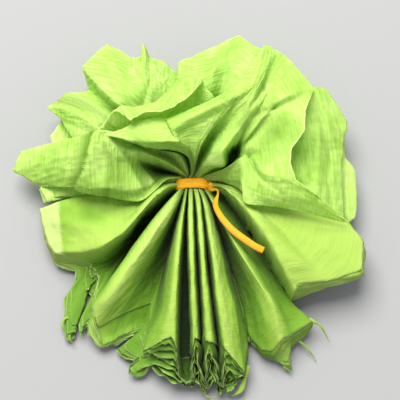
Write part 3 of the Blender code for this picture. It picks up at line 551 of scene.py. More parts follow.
# Sharper folds of the top sheet: the line, how far each side reaches, how high
# the fold stands in millimetres, and how much painted shade darkens each side (painted light where negative).
FOLDS = [
    ([(106, 114), (98, 128), (93, 138), (90, 150), (87.5, 162), (83, 175), (78, 183)], 13.0, 9.0, 2.4, 0.78, 0.0),
    ([(108.5, 116), (100.5, 130), (96, 140), (93.5, 152), (91, 164), (87, 176), (82, 184)], 3.0, 6.0, 0.3, -0.5, -0.5),
    ([(106.7, 145), (112, 157), (113.5, 168), (112, 181), (109, 198)], 9.0, 9.0, 1.6, 0.50, 0.0),
    ([(110, 141.7), (120, 152), (128, 163), (134, 174), (141, 187)], 8.0, 9.0, 1.4, 0.0, 0.50),
    ([(135, 150), (138, 161), (144, 170), (152, 179)], 6.0, 9.0, 0.8, 0.0, 0.60),
    ([(58, 150), (56, 166), (52, 180)], 6.0, 7.0, 0.7, 0.20, 0.0),
    ([(36, 152), (33, 165), (30, 176)], 6.0, 6.0, 0.6, 0.15, 0.0),
    ([(251, 107), (247, 128), (239.5, 146), (241, 156), (256, 167), (263, 179)], 10.0, 8.0, 1.0, 0.35, 0.0),
    ([(258, 82), (265, 92), (273, 107)], 6.0, 6.0, 0.5, 0.0, 0.30),
    ([(290, 162), (299.6, 181), (322.6, 202), (345, 223)], 6.0, 7.0, 0.8, 0.0, 0.25),
    ([(241, 172), (241, 184), (240, 198)], 9.0, 6.0, 0.4, 0.55, 0.0),
    ([(56.5, 203), (58.5, 222), (63, 253)], 8.0, 14.0, 1.2, 0.0, 0.40),
    ([(137, 152), (149, 156), (163, 162.5), (178, 169.5)], 6.0, 5.0, 0.8, -0.9, -0.9),
    ([(177, 151), (183, 162), (188, 171)], 5.0, 5.0, 0.6, -0.8, -0.8),
    ([(206, 176), (222, 169.5), (238, 162)], 6.0, 8.0, 0.8, -0.9, -0.9),
    ([(212, 163), (219, 153), (233, 133)], 7.0, 7.0, 0.4, -0.4, -0.4),
]


def folded(x, y):
    """Heights in metres that the one-sided folds add, and the painted shade beside them (painted light where negative).
    """
    lift, shade = np.zeros(x.shape), np.zeros(x.shape)
    for line, left, right, height, shade_left, shade_right in FOLDS:
        near = np.full(x.shape, 1e9)
        side = np.zeros(x.shape)
        for (x0, y0), (x1, y1) in zip(line[:-1], line[1:]):
            dx, dy = x1 - x0, y1 - y0
            t = np.clip(((x - x0) * dx + (y - y0) * dy) / (dx * dx + dy * dy), 0, 1)
            away = np.hypot(x - x0 - t * dx, y - y0 - t * dy)
            turn = np.sign(dx * (y - y0) - dy * (x - x0))
            side = np.where(away < near, turn, side)
            near = np.minimum(near, away)
        # travelling down the picture, positive is its left
        leftness = smooth(0.5 + side * near / 3.0)
        reach = right + (left - right) * leftness
        form = np.clip(1.0 - (np.hypot(near, 1.8) - 1.8) / reach, 0, 1)
        lift += height * MM * form
        # painted shade on each side of the fold, painted light where negative
        shade += form ** 0.7 * (shade_right + (shade_left - shade_right) * leftness)
    return lift, shade


def seen(points):
    """Where the camera shows points (..., 3): picture x and y."""
    rel = points - EYE
    depth = -(rel * BACK).sum(-1)
    return (200.0 + FOCAL * (rel * RIGHT).sum(-1) / depth,
            200.0 - FOCAL * (rel * UP).sum(-1) / depth)


def creased(grid, k):
    """Heights in metres that the noted creases add to sheet k, and their shade."""
    x, y = seen(grid)
    total = np.zeros(x.shape)
    shade = np.zeros(x.shape)
    for line, width, height in CREASES.get(k, []):
        near = np.full(x.shape, 1e9)
        for (x0, y0), (x1, y1) in zip(line[:-1], line[1:]):
            dx, dy = x1 - x0, y1 - y0
            t = np.clip(((x - x0) * dx + (y - y0) * dy) / (dx * dx + dy * dy), 0, 1)
            near = np.minimum(near, np.hypot(x - x0 - t * dx, y - y0 - t * dy))
        wide = width * 1.25
        form = np.clip(1.0 - near / wide, 0, 1) ** 1.3
        total += height * MM * form
        # the valleys also get painted shade along them
        if height < 0:
            shade = np.maximum(shade, form * min(0.35, -0.075 * height))
    return total, shade


def crumple(grid, u, v, k):
    """Soft folds, facets and ruffled rims, pushed out of the surface."""
    n = normals_of(grid)
    near = smooth(-v / 0.030)
    far = smooth((v - 0.012) / 0.035)
    um = u * 0.30
    big = creases(um * 46 + 3.1 * k, v * 42 + 1.7 * k, 31 + 5 * k)
    mid = creases(um * 110 + 1.3 * k, v * 95, 61 + 5 * k)
    fine = noise(um * 420, v * 420, 5 + k)
    to_rim = v.max(axis=0)[None, :] - v
    to_cut = v - v.min(axis=0)[None, :]
    rim = 1.0 - smooth(to_rim / 0.014)
    cut = 1.0 - smooth(to_cut / 0.010)
    small = creases(um * 230 + 2.3 * k, v * 200, 131 + 5 * k)
    panel = near * smooth(np.abs(2 * u - 1) * 3.2 - 1.9)
    # where the folds crowd together the paper has no room to crumple
    room = smooth(np.linalg.norm(np.gradient(grid, axis=1), axis=2) / 0.0011)
    calm = 0.75 * smooth((0.22 - u) / 0.07) + 0.6 * smooth((u - 0.78) / 0.06)
    room = (0.06 + 0.94 * room) * (1.0 - (1.0 if k == 0 else 0.4) * calm)
    amount = (0.00062 * big + 0.00030 * mid + 0.00013 * small + 0.00003 * fine) * far * room
    amount *= 0.7 if k in (1, 2) else 1.0
    if k in (1, 2):
        amount *= 1.0 - 0.8 * patch(*seen(grid), 134, 96, 24, 18)
    amount += (0.00035 * mid + 0.00014 * small) * panel
    amount += 0.00055 * noise(um * 170, v * 30, 77 + k) * rim
    # the nested pleats were pressed together, so there the sheets share their dents
    dimples = noise(um * 260, v * 420, 91)
    amount += (0.00013 * dimples + 0.00030 * noise(um * 60, v * 90, 17)) * near
    moved = grid + n * amount[:, :, None]
    lift, shade = creased(grid, k)
    if k == 0:
        more, fold_shade = folded(*seen(grid))
        here = (v > 0) | (u < 0.12)
        more, fold_shade, lift, shade = more * here, fold_shade * here, lift * (v > 0), shade * (v > 0)
        lift, shade = lift + more, np.clip(shade + fold_shade, -2.0, 0.85)
    both = smooth((np.abs(v) - 0.004) / 0.012) if k == 0 else smooth((v - 0.004) / 0.012)
    moved[:, :, 2] += lift * both
    shade = shade * both
    stack = np.interp(fold_at(u[0]), np.arange(len(STACK)), STACK)[None, :]
    strength = 0.0 if k == 0 else 1.0
    wave = noise(um * 330 + 7.0 * k, v * 60, 50 + k)
    tip = 1.0 - smooth(to_cut / 0.0042)
    # only ends that come out from under the sheet above are free to curl up
    free = np.interp(fold_at(u[0]), np.arange(len(STACK)),
                     [min(1.0, (1.0 if mode == "tongue" else 1.4) * SHARES[mode][k])
                      for mode in NEAR_MODE])[None, :]
    dip = smooth(to_cut / 0.003) * (1.0 - smooth(to_cut / 0.010))
    moved[:, :, 2] += strength * cut * (0.00045 + 0.0013 * stack) * free * wave
    moved[:, :, 2] += strength * stack * free * (tip * (0.0022 + 0.0016 * wave) - 0.0012 * dip)
    moved[:, :, 1] += strength * cut * 0.0010 * stack * noise(um * 520, v * 60, 58 + k)
    moved[:, :, 0] += strength * stack * free * smooth(1.4 - to_cut / 0.020) * 0.0019 * noise(
        um * 60 + 0.30 * k, v * 430 + 0.35 * k, 59)
    wings = strength * (smooth((u - 0.90) / 0.03) + smooth((0.045 - u) / 0.015)) * near
    hem = 1.0 - smooth(to_cut / 0.007)
    fold_pos = fold_at(u)
    torn = strength * near * ((fold_pos > 5) & (fold_pos < 19))
    moved[:, :, 2] += torn * hem * (0.0005 + 0.0012 * noise(um * 150 + 3.0 * k, v * 60, 95 + k))
    moved[:, :, 2] += wings * hem * 0.0022 * noise(um * 300 + 5.0 * k, v * 40, 71 + k)
    moved[:, :, 1] += wings * hem * 0.0016 * noise(um * 240 + 9.0 * k, v * 40, 83 + k)
    moved[:, :, 2] += 0.3 * (1 - stack) * tip * 0.0011 * noise(um * 420, v * 30, 66 + k) * near
    moved[:, :, 2] = np.maximum(moved[:, :, 2], 0.0004)
    return moved, shade


def openness(u, v, k):
    """1 on open paper, near 0 deep in the pleats, where the painted shade darkens the colour most."""
    s = len(NEAR)
    kind = np.interp(fold_at(u[0]), np.arange(s), NEAR_KINDS)[None, :]
    stack = np.interp(fold_at(u[0]), np.arange(s), STACK)[None, :]
    out = np.clip(-v / 0.085, 0.0, 1.0)
    near = smooth((-v - 0.003) / 0.010)
    depth = (1.0 - smooth(kind / 0.62)) * (0.95 - 0.55 * out * (1.0 - stack))
    to_cut = v - v.min(axis=0)[None, :]
    # the lower sheets' stacked cut ends get painted shade too
    if k > 0:
        ends = (stack * (1.0 - smooth(to_cut / 0.030))
                * (0.62 + 0.30 * smooth((to_cut - 0.0008) / 0.0025)))
        depth = np.maximum(depth * (1.0 - 0.1 * stack), ends)
    return 1.0 - depth * near


def slopes(u, v):
    """1 on the pleats' steep sides on the near half, 0 on their crests and on the flaps."""
    pos = fold_at(u)
    kind = np.interp(pos, np.arange(len(NEAR)), NEAR_KINDS)
    inner = smooth((pos - 3.5) / 2.0) * smooth((len(NEAR) - 5.5 - pos) / 1.5)
    return smooth((-v - 0.010) / 0.015) * inner * (1.0 - smooth((kind - 0.62) / 0.26))


# painted shade in soft patches where a panel turns from the light, and painted light where one turns to it
PAINTED_PATCHES = {
    0: [(279, 132, 25, 24, 0.50), (92, 213, 34, 14, 0.54), (122, 178, 24, 18, 0.38),
        (270, 192, 28, 14, -0.22), (248, 92, 24, 14, -0.22)],
    1: [(322, 145, 26, 42, -0.22)],
    2: [(322, 145, 26, 42, -0.22)],
    3: [(322, 145, 26, 42, -0.22)],
}


def patch(px, py, x, y, reach_x, reach_y):
    return np.exp(-(((px - x) / reach_x) ** 2 + ((py - y) / reach_y) ** 2))


def painted_patches(grid, k):
    px, py = seen(grid)
    total = np.zeros(px.shape)
    for x, y, reach_x, reach_y, depth in PAINTED_PATCHES.get(k, ()):
        total += depth * patch(px, py, x, y, reach_x, reach_y)
    return total * (1.0 + 0.3 * noise(px / 11.0, py / 11.0, 201 + k))


def sky_share(grid, least):
    """How much of the sky each place sees past the folds on its two sides."""
    total = np.zeros(grid.shape[:2])
    for sign in (1, -1):
        slope = np.zeros(grid.shape[:2])
        for step in (1, 2, 3, 4, 5, 7, 9, 12, 16, 21, 28, 37, 50):
            if step >= grid.shape[1]:
                break
            here, there = (slice(None, -step), slice(step, None))[::sign]
            rise = grid[:, there, 2] - grid[:, here, 2]
            run = np.hypot(grid[:, there, 0] - grid[:, here, 0],
                           grid[:, there, 1] - grid[:, here, 1]) + least[:, here]
            slope[:, here] = np.maximum(slope[:, here], rise / run)
        total += slope / np.sqrt(1.0 + slope * slope)
    return 1.0 - 0.5 * total


CELL = 0.0010
ROOF = np.full((240, 240), 1.0)      # the lowest paper so far over each place


def under_roof(grid, v):
    """Tuck a sheet's far half under the sheets that already lie over it."""
    ix = np.clip(((grid[:, :, 0] + 0.12) / CELL).astype(int), 0, 239)
    iy = np.clip(((grid[:, :, 1] + 0.12) / CELL).astype(int), 0, 239)
    reach = np.hypot(grid[:, :, 0] - 0.002, grid[:, :, 1])
    hold = (v > 0.0005) * (1.0 - smooth((reach - 0.021) / 0.010))
    lower = np.maximum(np.minimum(grid[:, :, 2], ROOF[iy, ix] - 0.00045), 0.0007)
    grid[:, :, 2] += hold * (lower - grid[:, :, 2])
    return grid


def add_to_roof(grid):
    rows_between = np.concatenate([grid, 0.5 * (grid[:-1] + grid[1:])])
    cols_between = 0.5 * (rows_between[:, :-1] + rows_between[:, 1:])
    flat = np.concatenate([rows_between.reshape(-1, 3), cols_between.reshape(-1, 3)])
    ix = np.clip(((flat[:, 0] + 0.12) / CELL).astype(int), 0, 239)
    iy = np.clip(((flat[:, 1] + 0.12) / CELL).astype(int), 0, 239)
    np.minimum.at(ROOF, (iy, ix), flat[:, 2])
    around = ROOF.copy()
    for dy, dx in ((0, 1), (0, -1), (1, 0), (-1, 0)):
        around = np.minimum(around, np.roll(ROOF, (dy, dx), (0, 1)) + 0.0006)
    ROOF[:] = around


# narrow slivers torn loose from a sheet's cut, which curl down from its edge
SLIVERS = {
    0: [([(308.5, 318.5, 12.6), (314, 321.8, 12.4), (319, 324.5, 11), (323.5, 330, 8.5), (327, 337, 6), (328.5, 341, 4.6)], 1.5)],
    4: [([(243.5, 366, 9), (244.5, 375, 7.6), (243.5, 383, 6.2), (239.5, 391, 5), (232, 395, 4), (225.5, 394, 3.6)], 3.4)],
    5: [([(203, 386, 4.5), (203.5, 391, 4.6), (206.5, 396, 4), (212, 398.5, 3), (216, 396.5, 2.6)], 1.3)],
    6: [([(285, 353, 5), (284, 360, 5), (285.5, 367, 4.2), (289, 371, 3.2), (291, 374, 2.4)], 2.6),
        ([(78, 330, 4.6), (73, 331, 5), (69.5, 335, 4.6), (70.5, 341, 3.6), (75, 344, 2.8)], 1.6)],
    7: [([(299, 339, 4.4), (303.5, 344.5, 4.8), (308, 349, 4.2), (312.5, 355, 2.6), (316, 361, 1.2)], 1.2),
        ([(70, 316, 4.2), (65, 318.5, 5), (62, 324, 4.8), (64, 330, 3.8), (68.5, 333, 3)], 1.5)],
}


def one_sliver(marks, width, paper):
    # it starts on the sheet itself, at the place nearest its first mark
    points = [W(*p) for p in marks]
    points[0] = paper[np.argmin(np.linalg.norm(paper - points[0], axis=1))]
    path = smooth_path(points, 26)
    s = np.linspace(0, 1, len(path))
    tangent = np.gradient(path, axis=0)
    tangent /= np.linalg.norm(tangent, axis=1)[:, None]
    flat_side = np.cross(np.array([0.0, 0.0, 1.0]), tangent)
    flat_side /= np.linalg.norm(flat_side, axis=1)[:, None]
    up = np.cross(tangent, flat_side)
    roll = (1.5 * s * s + 0.25 * np.sin(9.0 * s))[:, None]
    side = flat_side * np.cos(roll) + up * np.sin(roll)
    face = np.cross(tangent, side)
    half = (0.5 * width * MM * (1.0 - 0.6 * s + 0.15 * np.sin(14.0 * s)))[:, None]
    ring = np.stack([path - side * half + face * THICK / 2, path + side * half + face * THICK / 2,
                     path + side * half - face * THICK / 2, path - side * half - face * THICK / 2], 1)
    ring[:, :, 2] = np.maximum(ring[:, :, 2], 0.0004)
    last = len(path) - 1
    faces, places = [], []
    for i in range(last):
        for j in range(4):
            nxt = (j + 1) % 4
            faces.append((4 * i + j, 4 * i + 4 + j, 4 * i + 4 + nxt, 4 * i + nxt))
            places += [(j, i / last), (j, (i + 1) / last), (j + 1, (i + 1) / last), (j + 1, i / last)]
    for end, order in ((0, (0, 1, 2, 3)), (4 * last, (3, 2, 1, 0))):
        faces.append(tuple(end + j for j in order))
        places += [(j, float(end > 0)) for j in order]
    return ring.reshape(-1, 3), np.array(faces), np.array(places, float)


def slivers(k, paper):
    """Sheet k's loose slivers: points, faces and each face corner's place on them."""
    verts, faces, places = [np.zeros((0, 3))], [np.zeros((0, 4), int)], [np.zeros((0, 2))]
    count = 0
    for i, (marks, width) in enumerate(SLIVERS.get(k, [])):
        points, quads, spots = one_sliver(marks, width, paper)
        verts.append(points)
        faces.append(quads + count)
        places.append(spots * (1.0, 0.48) + (0.0, 0.5 * i))
        count += len(points)
    return np.concatenate(verts), np.concatenate(faces), np.concatenate(places)


def build_sheet(k, cols, near_rows, far_rows, material):
    grid, v = sheet_grid(k, cols, near_rows, far_rows)
    if k > 0:
        grid = under_roof(grid, v)
    rows = grid.shape[0]
    u = np.broadcast_to(np.linspace(0, 1, cols)[None, :], (rows, cols))
    grid, shade = crumple(grid, u, v, k)
    add_to_roof(grid)
    n = normals_of(grid)
    top = (grid + n * THICK / 2).reshape(-1, 3)
    low = (grid - n * THICK / 2).reshape(-1, 3)
    low[:, 2] = np.maximum(low[:, 2], 0.00015)
    loose, loose_faces, places = slivers(k, grid.reshape(-1, 3))
    verts = np.concatenate([top, low, loose])
    idx = np.arange(rows * cols).reshape(rows, cols)
    a, b = idx[:-1, :-1].ravel(), idx[:-1, 1:].ravel()
    c, d = idx[1:, 1:].ravel(), idx[1:, :-1].ravel()
    m = rows * cols
    faces = [np.stack([a, b, c, d], 1), np.stack([d, c, b, a], 1) + m]

    def rim(line, flip):
        p, q = line[:-1], line[1:]
        quad = np.stack([p, p + m, q + m, q], 1)
        return quad[:, ::-1] if flip else quad

    faces += [rim(idx[0], False), rim(idx[-1], True), rim(idx[:, 0], True), rim(idx[:, -1], False)]
    sheet_faces = np.concatenate(faces)
    faces = np.concatenate([sheet_faces, loose_faces + 2 * m])
    name = f"crepe_paper_{k + 1}"
    mesh = bpy.data.meshes.new(name)
    mesh.vertices.add(len(verts))
    mesh.vertices.foreach_set("co", verts.astype(np.float32).ravel())
    mesh.loops.add(faces.size)
    mesh.loops.foreach_set("vertex_index", faces.astype(np.int32).ravel())
    mesh.polygons.add(len(faces))
    mesh.polygons.foreach_set("loop_start", np.arange(0, faces.size, 4, dtype=np.int32))
    mesh.polygons.foreach_set("loop_total", np.full(len(faces), 4, np.int32))
    mesh.update(calc_edges=True)
    mesh.validate()
    # metric coordinates along the strip, and a layout with both sides apart
    flat_u, flat_v = u.ravel(), v.ravel()
    outwards = np.sign(v) * np.hypot(grid[:, :, 0], np.where(u < 0.5, 0.35, 0.7) * grid[:, :, 1])
    if k == 2:
        slant = 0.38 * (1.0 - smooth((u - 0.45) / 0.15))
        straight = np.sign(v) * (0.93 * np.abs(grid[:, :, 1]) + slant * grid[:, :, 0])
        outwards = outwards + (straight - outwards) * smooth((u - 0.12) / 0.05) * (1.0 - smooth((u - 0.60) / 0.08))
    sides = np.clip((v > 0.01) * float(k == 2) + smooth((0.30 - u) / 0.06) + smooth((u - np.where(v > 0, 0.58, 0.92)) / 0.05), 0, 1)
    strip_v = (v + (outwards - v) * sides).ravel()
    fv = (flat_v - flat_v.min()) / (flat_v.max() - flat_v.min())
    order = sheet_faces.ravel() % m
    side = sheet_faces.ravel() // m
    crepe = mesh.uv_layers.new(name="crepe")
    data = np.stack([flat_u[order] * 0.45, strip_v[order]], 1)
    data = np.concatenate([data, places * (0.0006, 0.016) - (0.0, 0.080)])
    crepe.data.foreach_set("uv", data.astype(np.float32).ravel())
    bake = mesh.uv_layers.new(name="OFBake")
    data = np.stack([0.01 + 0.48 * flat_u[order] + 0.5 * side, 0.01 + 0.98 * fv[order]], 1)
    data = np.concatenate([data, places * (0.0035, 0.90) + (0.493, 0.05)])
    bake.data.foreach_set("uv", data.astype(np.float32).ravel())
    # how open each place lies to the light, painted into the colour as shade, and how far it is from the sheet's cut
    near = smooth(-v / 0.010)
    least = 0.0003 * near + 0.0032 * (1 - near)
    side_sky = sky_share(grid, least)
    end_sky = sky_share(grid.transpose(1, 0, 2), least.T).T
    open_far = np.clip((np.minimum(side_sky, 0.15 + end_sky) - 0.10) / 0.52, 0, 1)
    if k > 0:
        open_far = 0.82 + 0.18 * open_far
    sky = near * np.clip((side_sky - 0.06) / 0.66, 0, 1) + (1 - near) * open_far
    # painted shade in the colour: darker deep in the pleats, beside the folds and creases, and on the pleats' steep
    # sides
    lit = np.minimum(sky, openness(u, v, k)) * (1.0 - shade) * (1.0 - 0.42 * slopes(u, v))
    # painted shade and painted light in soft patches
    lit = lit * (1.0 - painted_patches(grid, k))
    lit = np.clip(lit, 0.0, 1.0).ravel()
    cut = np.minimum(v.max(axis=0)[None, :] - v, v - v.min(axis=0)[None, :]).ravel()
    px, py = seen(grid)
    rim_facet_highlight = np.zeros(px.shape)
    grain = np.ones(px.shape)
    if k == 0:
        # painted highlight on the top sheet's left rim facet
        rim_facet_highlight = (u < 0.09) * (v < -0.03) * smooth((59.5 + 0.08 * (py - 203.0) - px) / 2.0) * (py < 262)
        grain = 1.0 - 0.62 * smooth((u - 0.56) / 0.05) * smooth(v / 0.03)
    elif k < 3:
        grain = 1.0 - 0.5 * smooth((u - 0.60) / 0.06) * smooth(v / 0.03)
        grain = grain * (1.0 - 0.5 * patch(px, py, 134, 96, 24, 18))
    for label, values, on_sliver in (("painted_shading", lit, 0.85), ("edge", cut, 0.002),
                                     ("rim_facet_highlight", rim_facet_highlight.ravel(), 0.0), ("grain", grain.ravel(), 1.0)):
        attribute = mesh.attributes.new(label, "FLOAT", "POINT")
        values = np.concatenate([values, values, np.full(len(loose), on_sliver)])
        attribute.data.foreach_set("value", values.astype(np.float32))
    mesh.shade_smooth()
    mesh.materials.append(material)
    obj = bpy.data.objects.new(name, mesh)
    bpy.context.scene.collection.objects.link(obj)
    return obj, grid


# --------------------------------------------------------------- materials
def new_material(name):
    material = bpy.data.materials.new(name)
    material.use_nodes = True
    tree = material.node_tree
    tree.nodes.clear()
    return material, tree


def node(tree, kind, **inputs):
    made = tree.nodes.new(kind)
    for key, value in inputs.items():
        made.inputs[key.replace("_", " ")].default_value = value
    return made


def math_node(tree, operation, a, b=None, clamp=False):
    made = tree.nodes.new("ShaderNodeMath")
    made.operation = operation
    made.use_clamp = clamp
    for i, value in enumerate((a, b)):
        if value is None:
            continue
        if isinstance(value, (int, float)):
            made.inputs[i].default_value = value
        else:
            tree.links.new(value, made.inputs[i])
    return made.outputs[0]


def ramp(tree, factor, stops):
    made = tree.nodes.new("ShaderNodeValToRGB")
    band = made.color_ramp
    while len(band.elements) < len(stops):
        band.elements.new(0.5)
    for element, (at, colour) in zip(band.elements, stops):
        element.position = at
        element.color = (*colour, 1.0)
    tree.links.new(factor, made.inputs[0])
    return made.outputs[0]


def blended(tree, factor, first, second):
    made = tree.nodes.new("ShaderNodeMix")
    made.data_type = "RGBA"
    sockets = [i for i in made.inputs if i.type == "RGBA"]
    tree.links.new(factor, made.inputs[0])
    tree.links.new(first, sockets[0])
    sockets[1].default_value = (*second, 1.0)
    return [o for o in made.outputs if o.type == "RGBA"][0]


def crepe_material(name, tint, seed, through_share):
    """Lime crepe: fine wrinkles across the strip, faint streaks and mottling."""
    material, tree = new_material(name)
    link = tree.links.new
    uv = tree.nodes.new("ShaderNodeUVMap")
    uv.uv_map = "crepe"
    # stretched noise gives the wrinkles: long across the strip, 1.1 mm apart
    mapping = tree.nodes.new("ShaderNodeMapping")
    mapping.inputs["Scale"].default_value = (60.0, 1000.0, 1.0)
    mapping.inputs["Location"].default_value = (seed * 3.7, seed * 1.9, 0.0)
    link(uv.outputs[0], mapping.inputs[0])
    wrinkle = node(tree, "ShaderNodeTexNoise", Scale=1.0, Detail=2.0, Roughness=0.5, Distortion=0.0)
    wrinkle.noise_dimensions = "2D"
    link(mapping.outputs[0], wrinkle.inputs["Vector"])
    mapping2 = tree.nodes.new("ShaderNodeMapping")
    mapping2.inputs["Scale"].default_value = (260.0, 3300.0, 1.0)
    link(uv.outputs[0], mapping2.inputs[0])
    fine = node(tree, "ShaderNodeTexNoise", Scale=1.0, Detail=2.0, Roughness=0.5)
    fine.noise_dimensions = "2D"
    link(mapping2.outputs[0], fine.inputs["Vector"])
    blotch = node(tree, "ShaderNodeTexNoise", Scale=38.0 + seed, Detail=4.0, Roughness=0.55)
    blotch.noise_dimensions = "2D"
    link(uv.outputs[0], blotch.inputs["Vector"])
    parts = tree.nodes.new("ShaderNodeSeparateXYZ")
    link(uv.outputs[0], parts.inputs[0])
    pulled = tree.nodes.new("ShaderNodeMapRange")
    pulled.inputs["From Min"].default_value = -0.045
    pulled.inputs["From Max"].default_value = 0.03
    pulled.inputs["To Min"].default_value = 0.45
    pulled.inputs["To Max"].default_value = 1.0
    link(parts.outputs["Y"], pulled.inputs["Value"])
    height = math_node(tree, "MULTIPLY", wrinkle.outputs["Fac"], pulled.outputs[0])
    height = math_node(tree, "ADD", height, math_node(tree, "MULTIPLY", fine.outputs["Fac"], 0.16))
    facet = tree.nodes.new("ShaderNodeTexVoronoi")
    facet.voronoi_dimensions = "2D"
    facet.inputs["Scale"].default_value = 150.0 + 7.0 * seed
    link(uv.outputs[0], facet.inputs["Vector"])
    height = math_node(tree, "ADD", height, math_node(tree, "MULTIPLY", facet.outputs["Distance"], 0.9))
    grain = tree.nodes.new("ShaderNodeAttribute")
    grain.attribute_name = "grain"
    height = math_node(tree, "MULTIPLY", height, grain.outputs["Fac"])
    bump = tree.nodes.new("ShaderNodeBump")
    bump.inputs["Strength"].default_value = 0.9
    bump.inputs["Distance"].default_value = 0.0006
    link(height, bump.inputs["Height"])
    # colour: painted shade in the wrinkle troughs and painted highlight on their crests, with soft blotches of tone
    mix = math_node(tree, "ADD", math_node(tree, "MULTIPLY", wrinkle.outputs["Fac"], 0.62),
                    math_node(tree, "MULTIPLY", blotch.outputs["Fac"], 0.55))
    r, g, b = tint
    colour = ramp(tree, mix, [
        (0.36, (r * 0.68, g * 0.82, b * 0.55)),
        (0.56, (r * 0.96, g * 0.98, b * 0.97)),
        (0.78, (min(r * 1.20, 1.0), min(g * 1.08, 1.0), b * 1.6)),
    ])
    # painted shade: deeper green in the pleats and on the near half; painted highlight: paler on the cut edges
    half = tree.nodes.new("ShaderNodeMapRange")
    half.inputs["From Min"].default_value = -0.050
    half.inputs["From Max"].default_value = 0.020
    half.inputs["To Min"].default_value = 0.85
    half.inputs["To Max"].default_value = 0.0
    link(parts.outputs["Y"], half.inputs["Value"])
    painted_shading = tree.nodes.new("ShaderNodeAttribute")
    painted_shading.attribute_name = "painted_shading"
    # painted shade: the near half mixed to a deeper green
    colour = blended(tree, half.outputs[0], colour, (r * 0.46, g * 0.52, b * 0.30))
    # painted shade deep in the pleats and beside the folds: deeper green, near black at the deepest
    closed = math_node(tree, "SUBTRACT", 1.0, painted_shading.outputs["Fac"], clamp=True)
    colour = blended(tree, math_node(tree, "MULTIPLY", closed, 1.3, clamp=True), colour,
                     (r * 0.34, g * 0.54, b * 0.13))
    colour = blended(tree, math_node(tree, "POWER", closed, 2.2), colour, (r * 0.012, g * 0.03, b * 0.012))
    edge = tree.nodes.new("ShaderNodeAttribute")
    edge.attribute_name = "edge"
    edge_highlight = tree.nodes.new("ShaderNodeMapRange")
    edge_highlight.inputs["From Min"].default_value = 0.0004
    edge_highlight.inputs["From Max"].default_value = 0.0010
    edge_highlight.inputs["To Min"].default_value = 0.55
    edge_highlight.inputs["To Max"].default_value = 0.0
    link(edge.outputs["Fac"], edge_highlight.inputs["Value"])
    petal = tree.nodes.new("ShaderNodeMapRange")
    petal.inputs["From Min"].default_value = -0.060
    petal.inputs["From Max"].default_value = -0.020
    petal.inputs["To Min"].default_value = 0.30
    petal.inputs["To Max"].default_value = 1.0
    link(parts.outputs["Y"], petal.inputs["Value"])
    rim_highlight = math_node(tree, "MULTIPLY", edge_highlight.outputs[0], petal.outputs[0])
    # painted highlight: the petals' cut edges mixed paler
    colour = blended(tree, rim_highlight, colour, (min(r * 1.5, 1.0), min(g * 1.25, 1.0), b * 2.4))
    rim_facet_highlight = tree.nodes.new("ShaderNodeAttribute")
    rim_facet_highlight.attribute_name = "rim_facet_highlight"
    # painted highlight: the left rim facet mixed paler
    colour = blended(tree, math_node(tree, "MULTIPLY", rim_facet_highlight.outputs["Fac"], 0.38), colour,
                     (min(r * 1.35, 1.0), min(g * 1.16, 1.0), b * 2.1))
    shader = node(tree, "ShaderNodeBsdfPrincipled", Roughness=0.78)
    shader.inputs["Specular IOR Level"].default_value = 0.20
    shader.inputs["Sheen Weight"].default_value = 0.06
    shader.inputs["Sheen Roughness"].default_value = 0.5
    shader.inputs["Sheen Tint"].default_value = (0.85, 1.0, 0.45, 1.0)
    link(colour, shader.inputs["Base Color"])
    link(bump.outputs[0], shader.inputs["Normal"])
    through = tree.nodes.new("ShaderNodeBsdfTranslucent")
    glow = tree.nodes.new("ShaderNodeMix")
    glow.data_type = "RGBA"
    glow_in = [i for i in glow.inputs if i.type == "RGBA"]
    glow.inputs[0].default_value = 0.45
    link(colour, glow_in[0])
    glow_in[1].default_value = (0.72, 1.0, 0.22, 1.0)
    link([o for o in glow.outputs if o.type == "RGBA"][0], through.inputs["Color"])
    link(bump.outputs[0], through.inputs["Normal"])
    blend = tree.nodes.new("ShaderNodeMixShader")
    share = tree.nodes.new("ShaderNodeMapRange")
    share.inputs["From Min"].default_value = -0.040
    share.inputs["From Max"].default_value = 0.030
    share.inputs["To Min"].default_value = 0.14
    share.inputs["To Max"].default_value = through_share
    link(parts.outputs["Y"], share.inputs["Value"])
    link(math_node(tree, "MULTIPLY", share.outputs[0], painted_shading.outputs["Fac"], clamp=True), blend.inputs[0])
    link(shader.outputs[0], blend.inputs[1])
    link(through.outputs[0], blend.inputs[2])
    out = tree.nodes.new("ShaderNodeOutputMaterial")
    link(blend.outputs[0], out.inputs["Surface"])
    return material


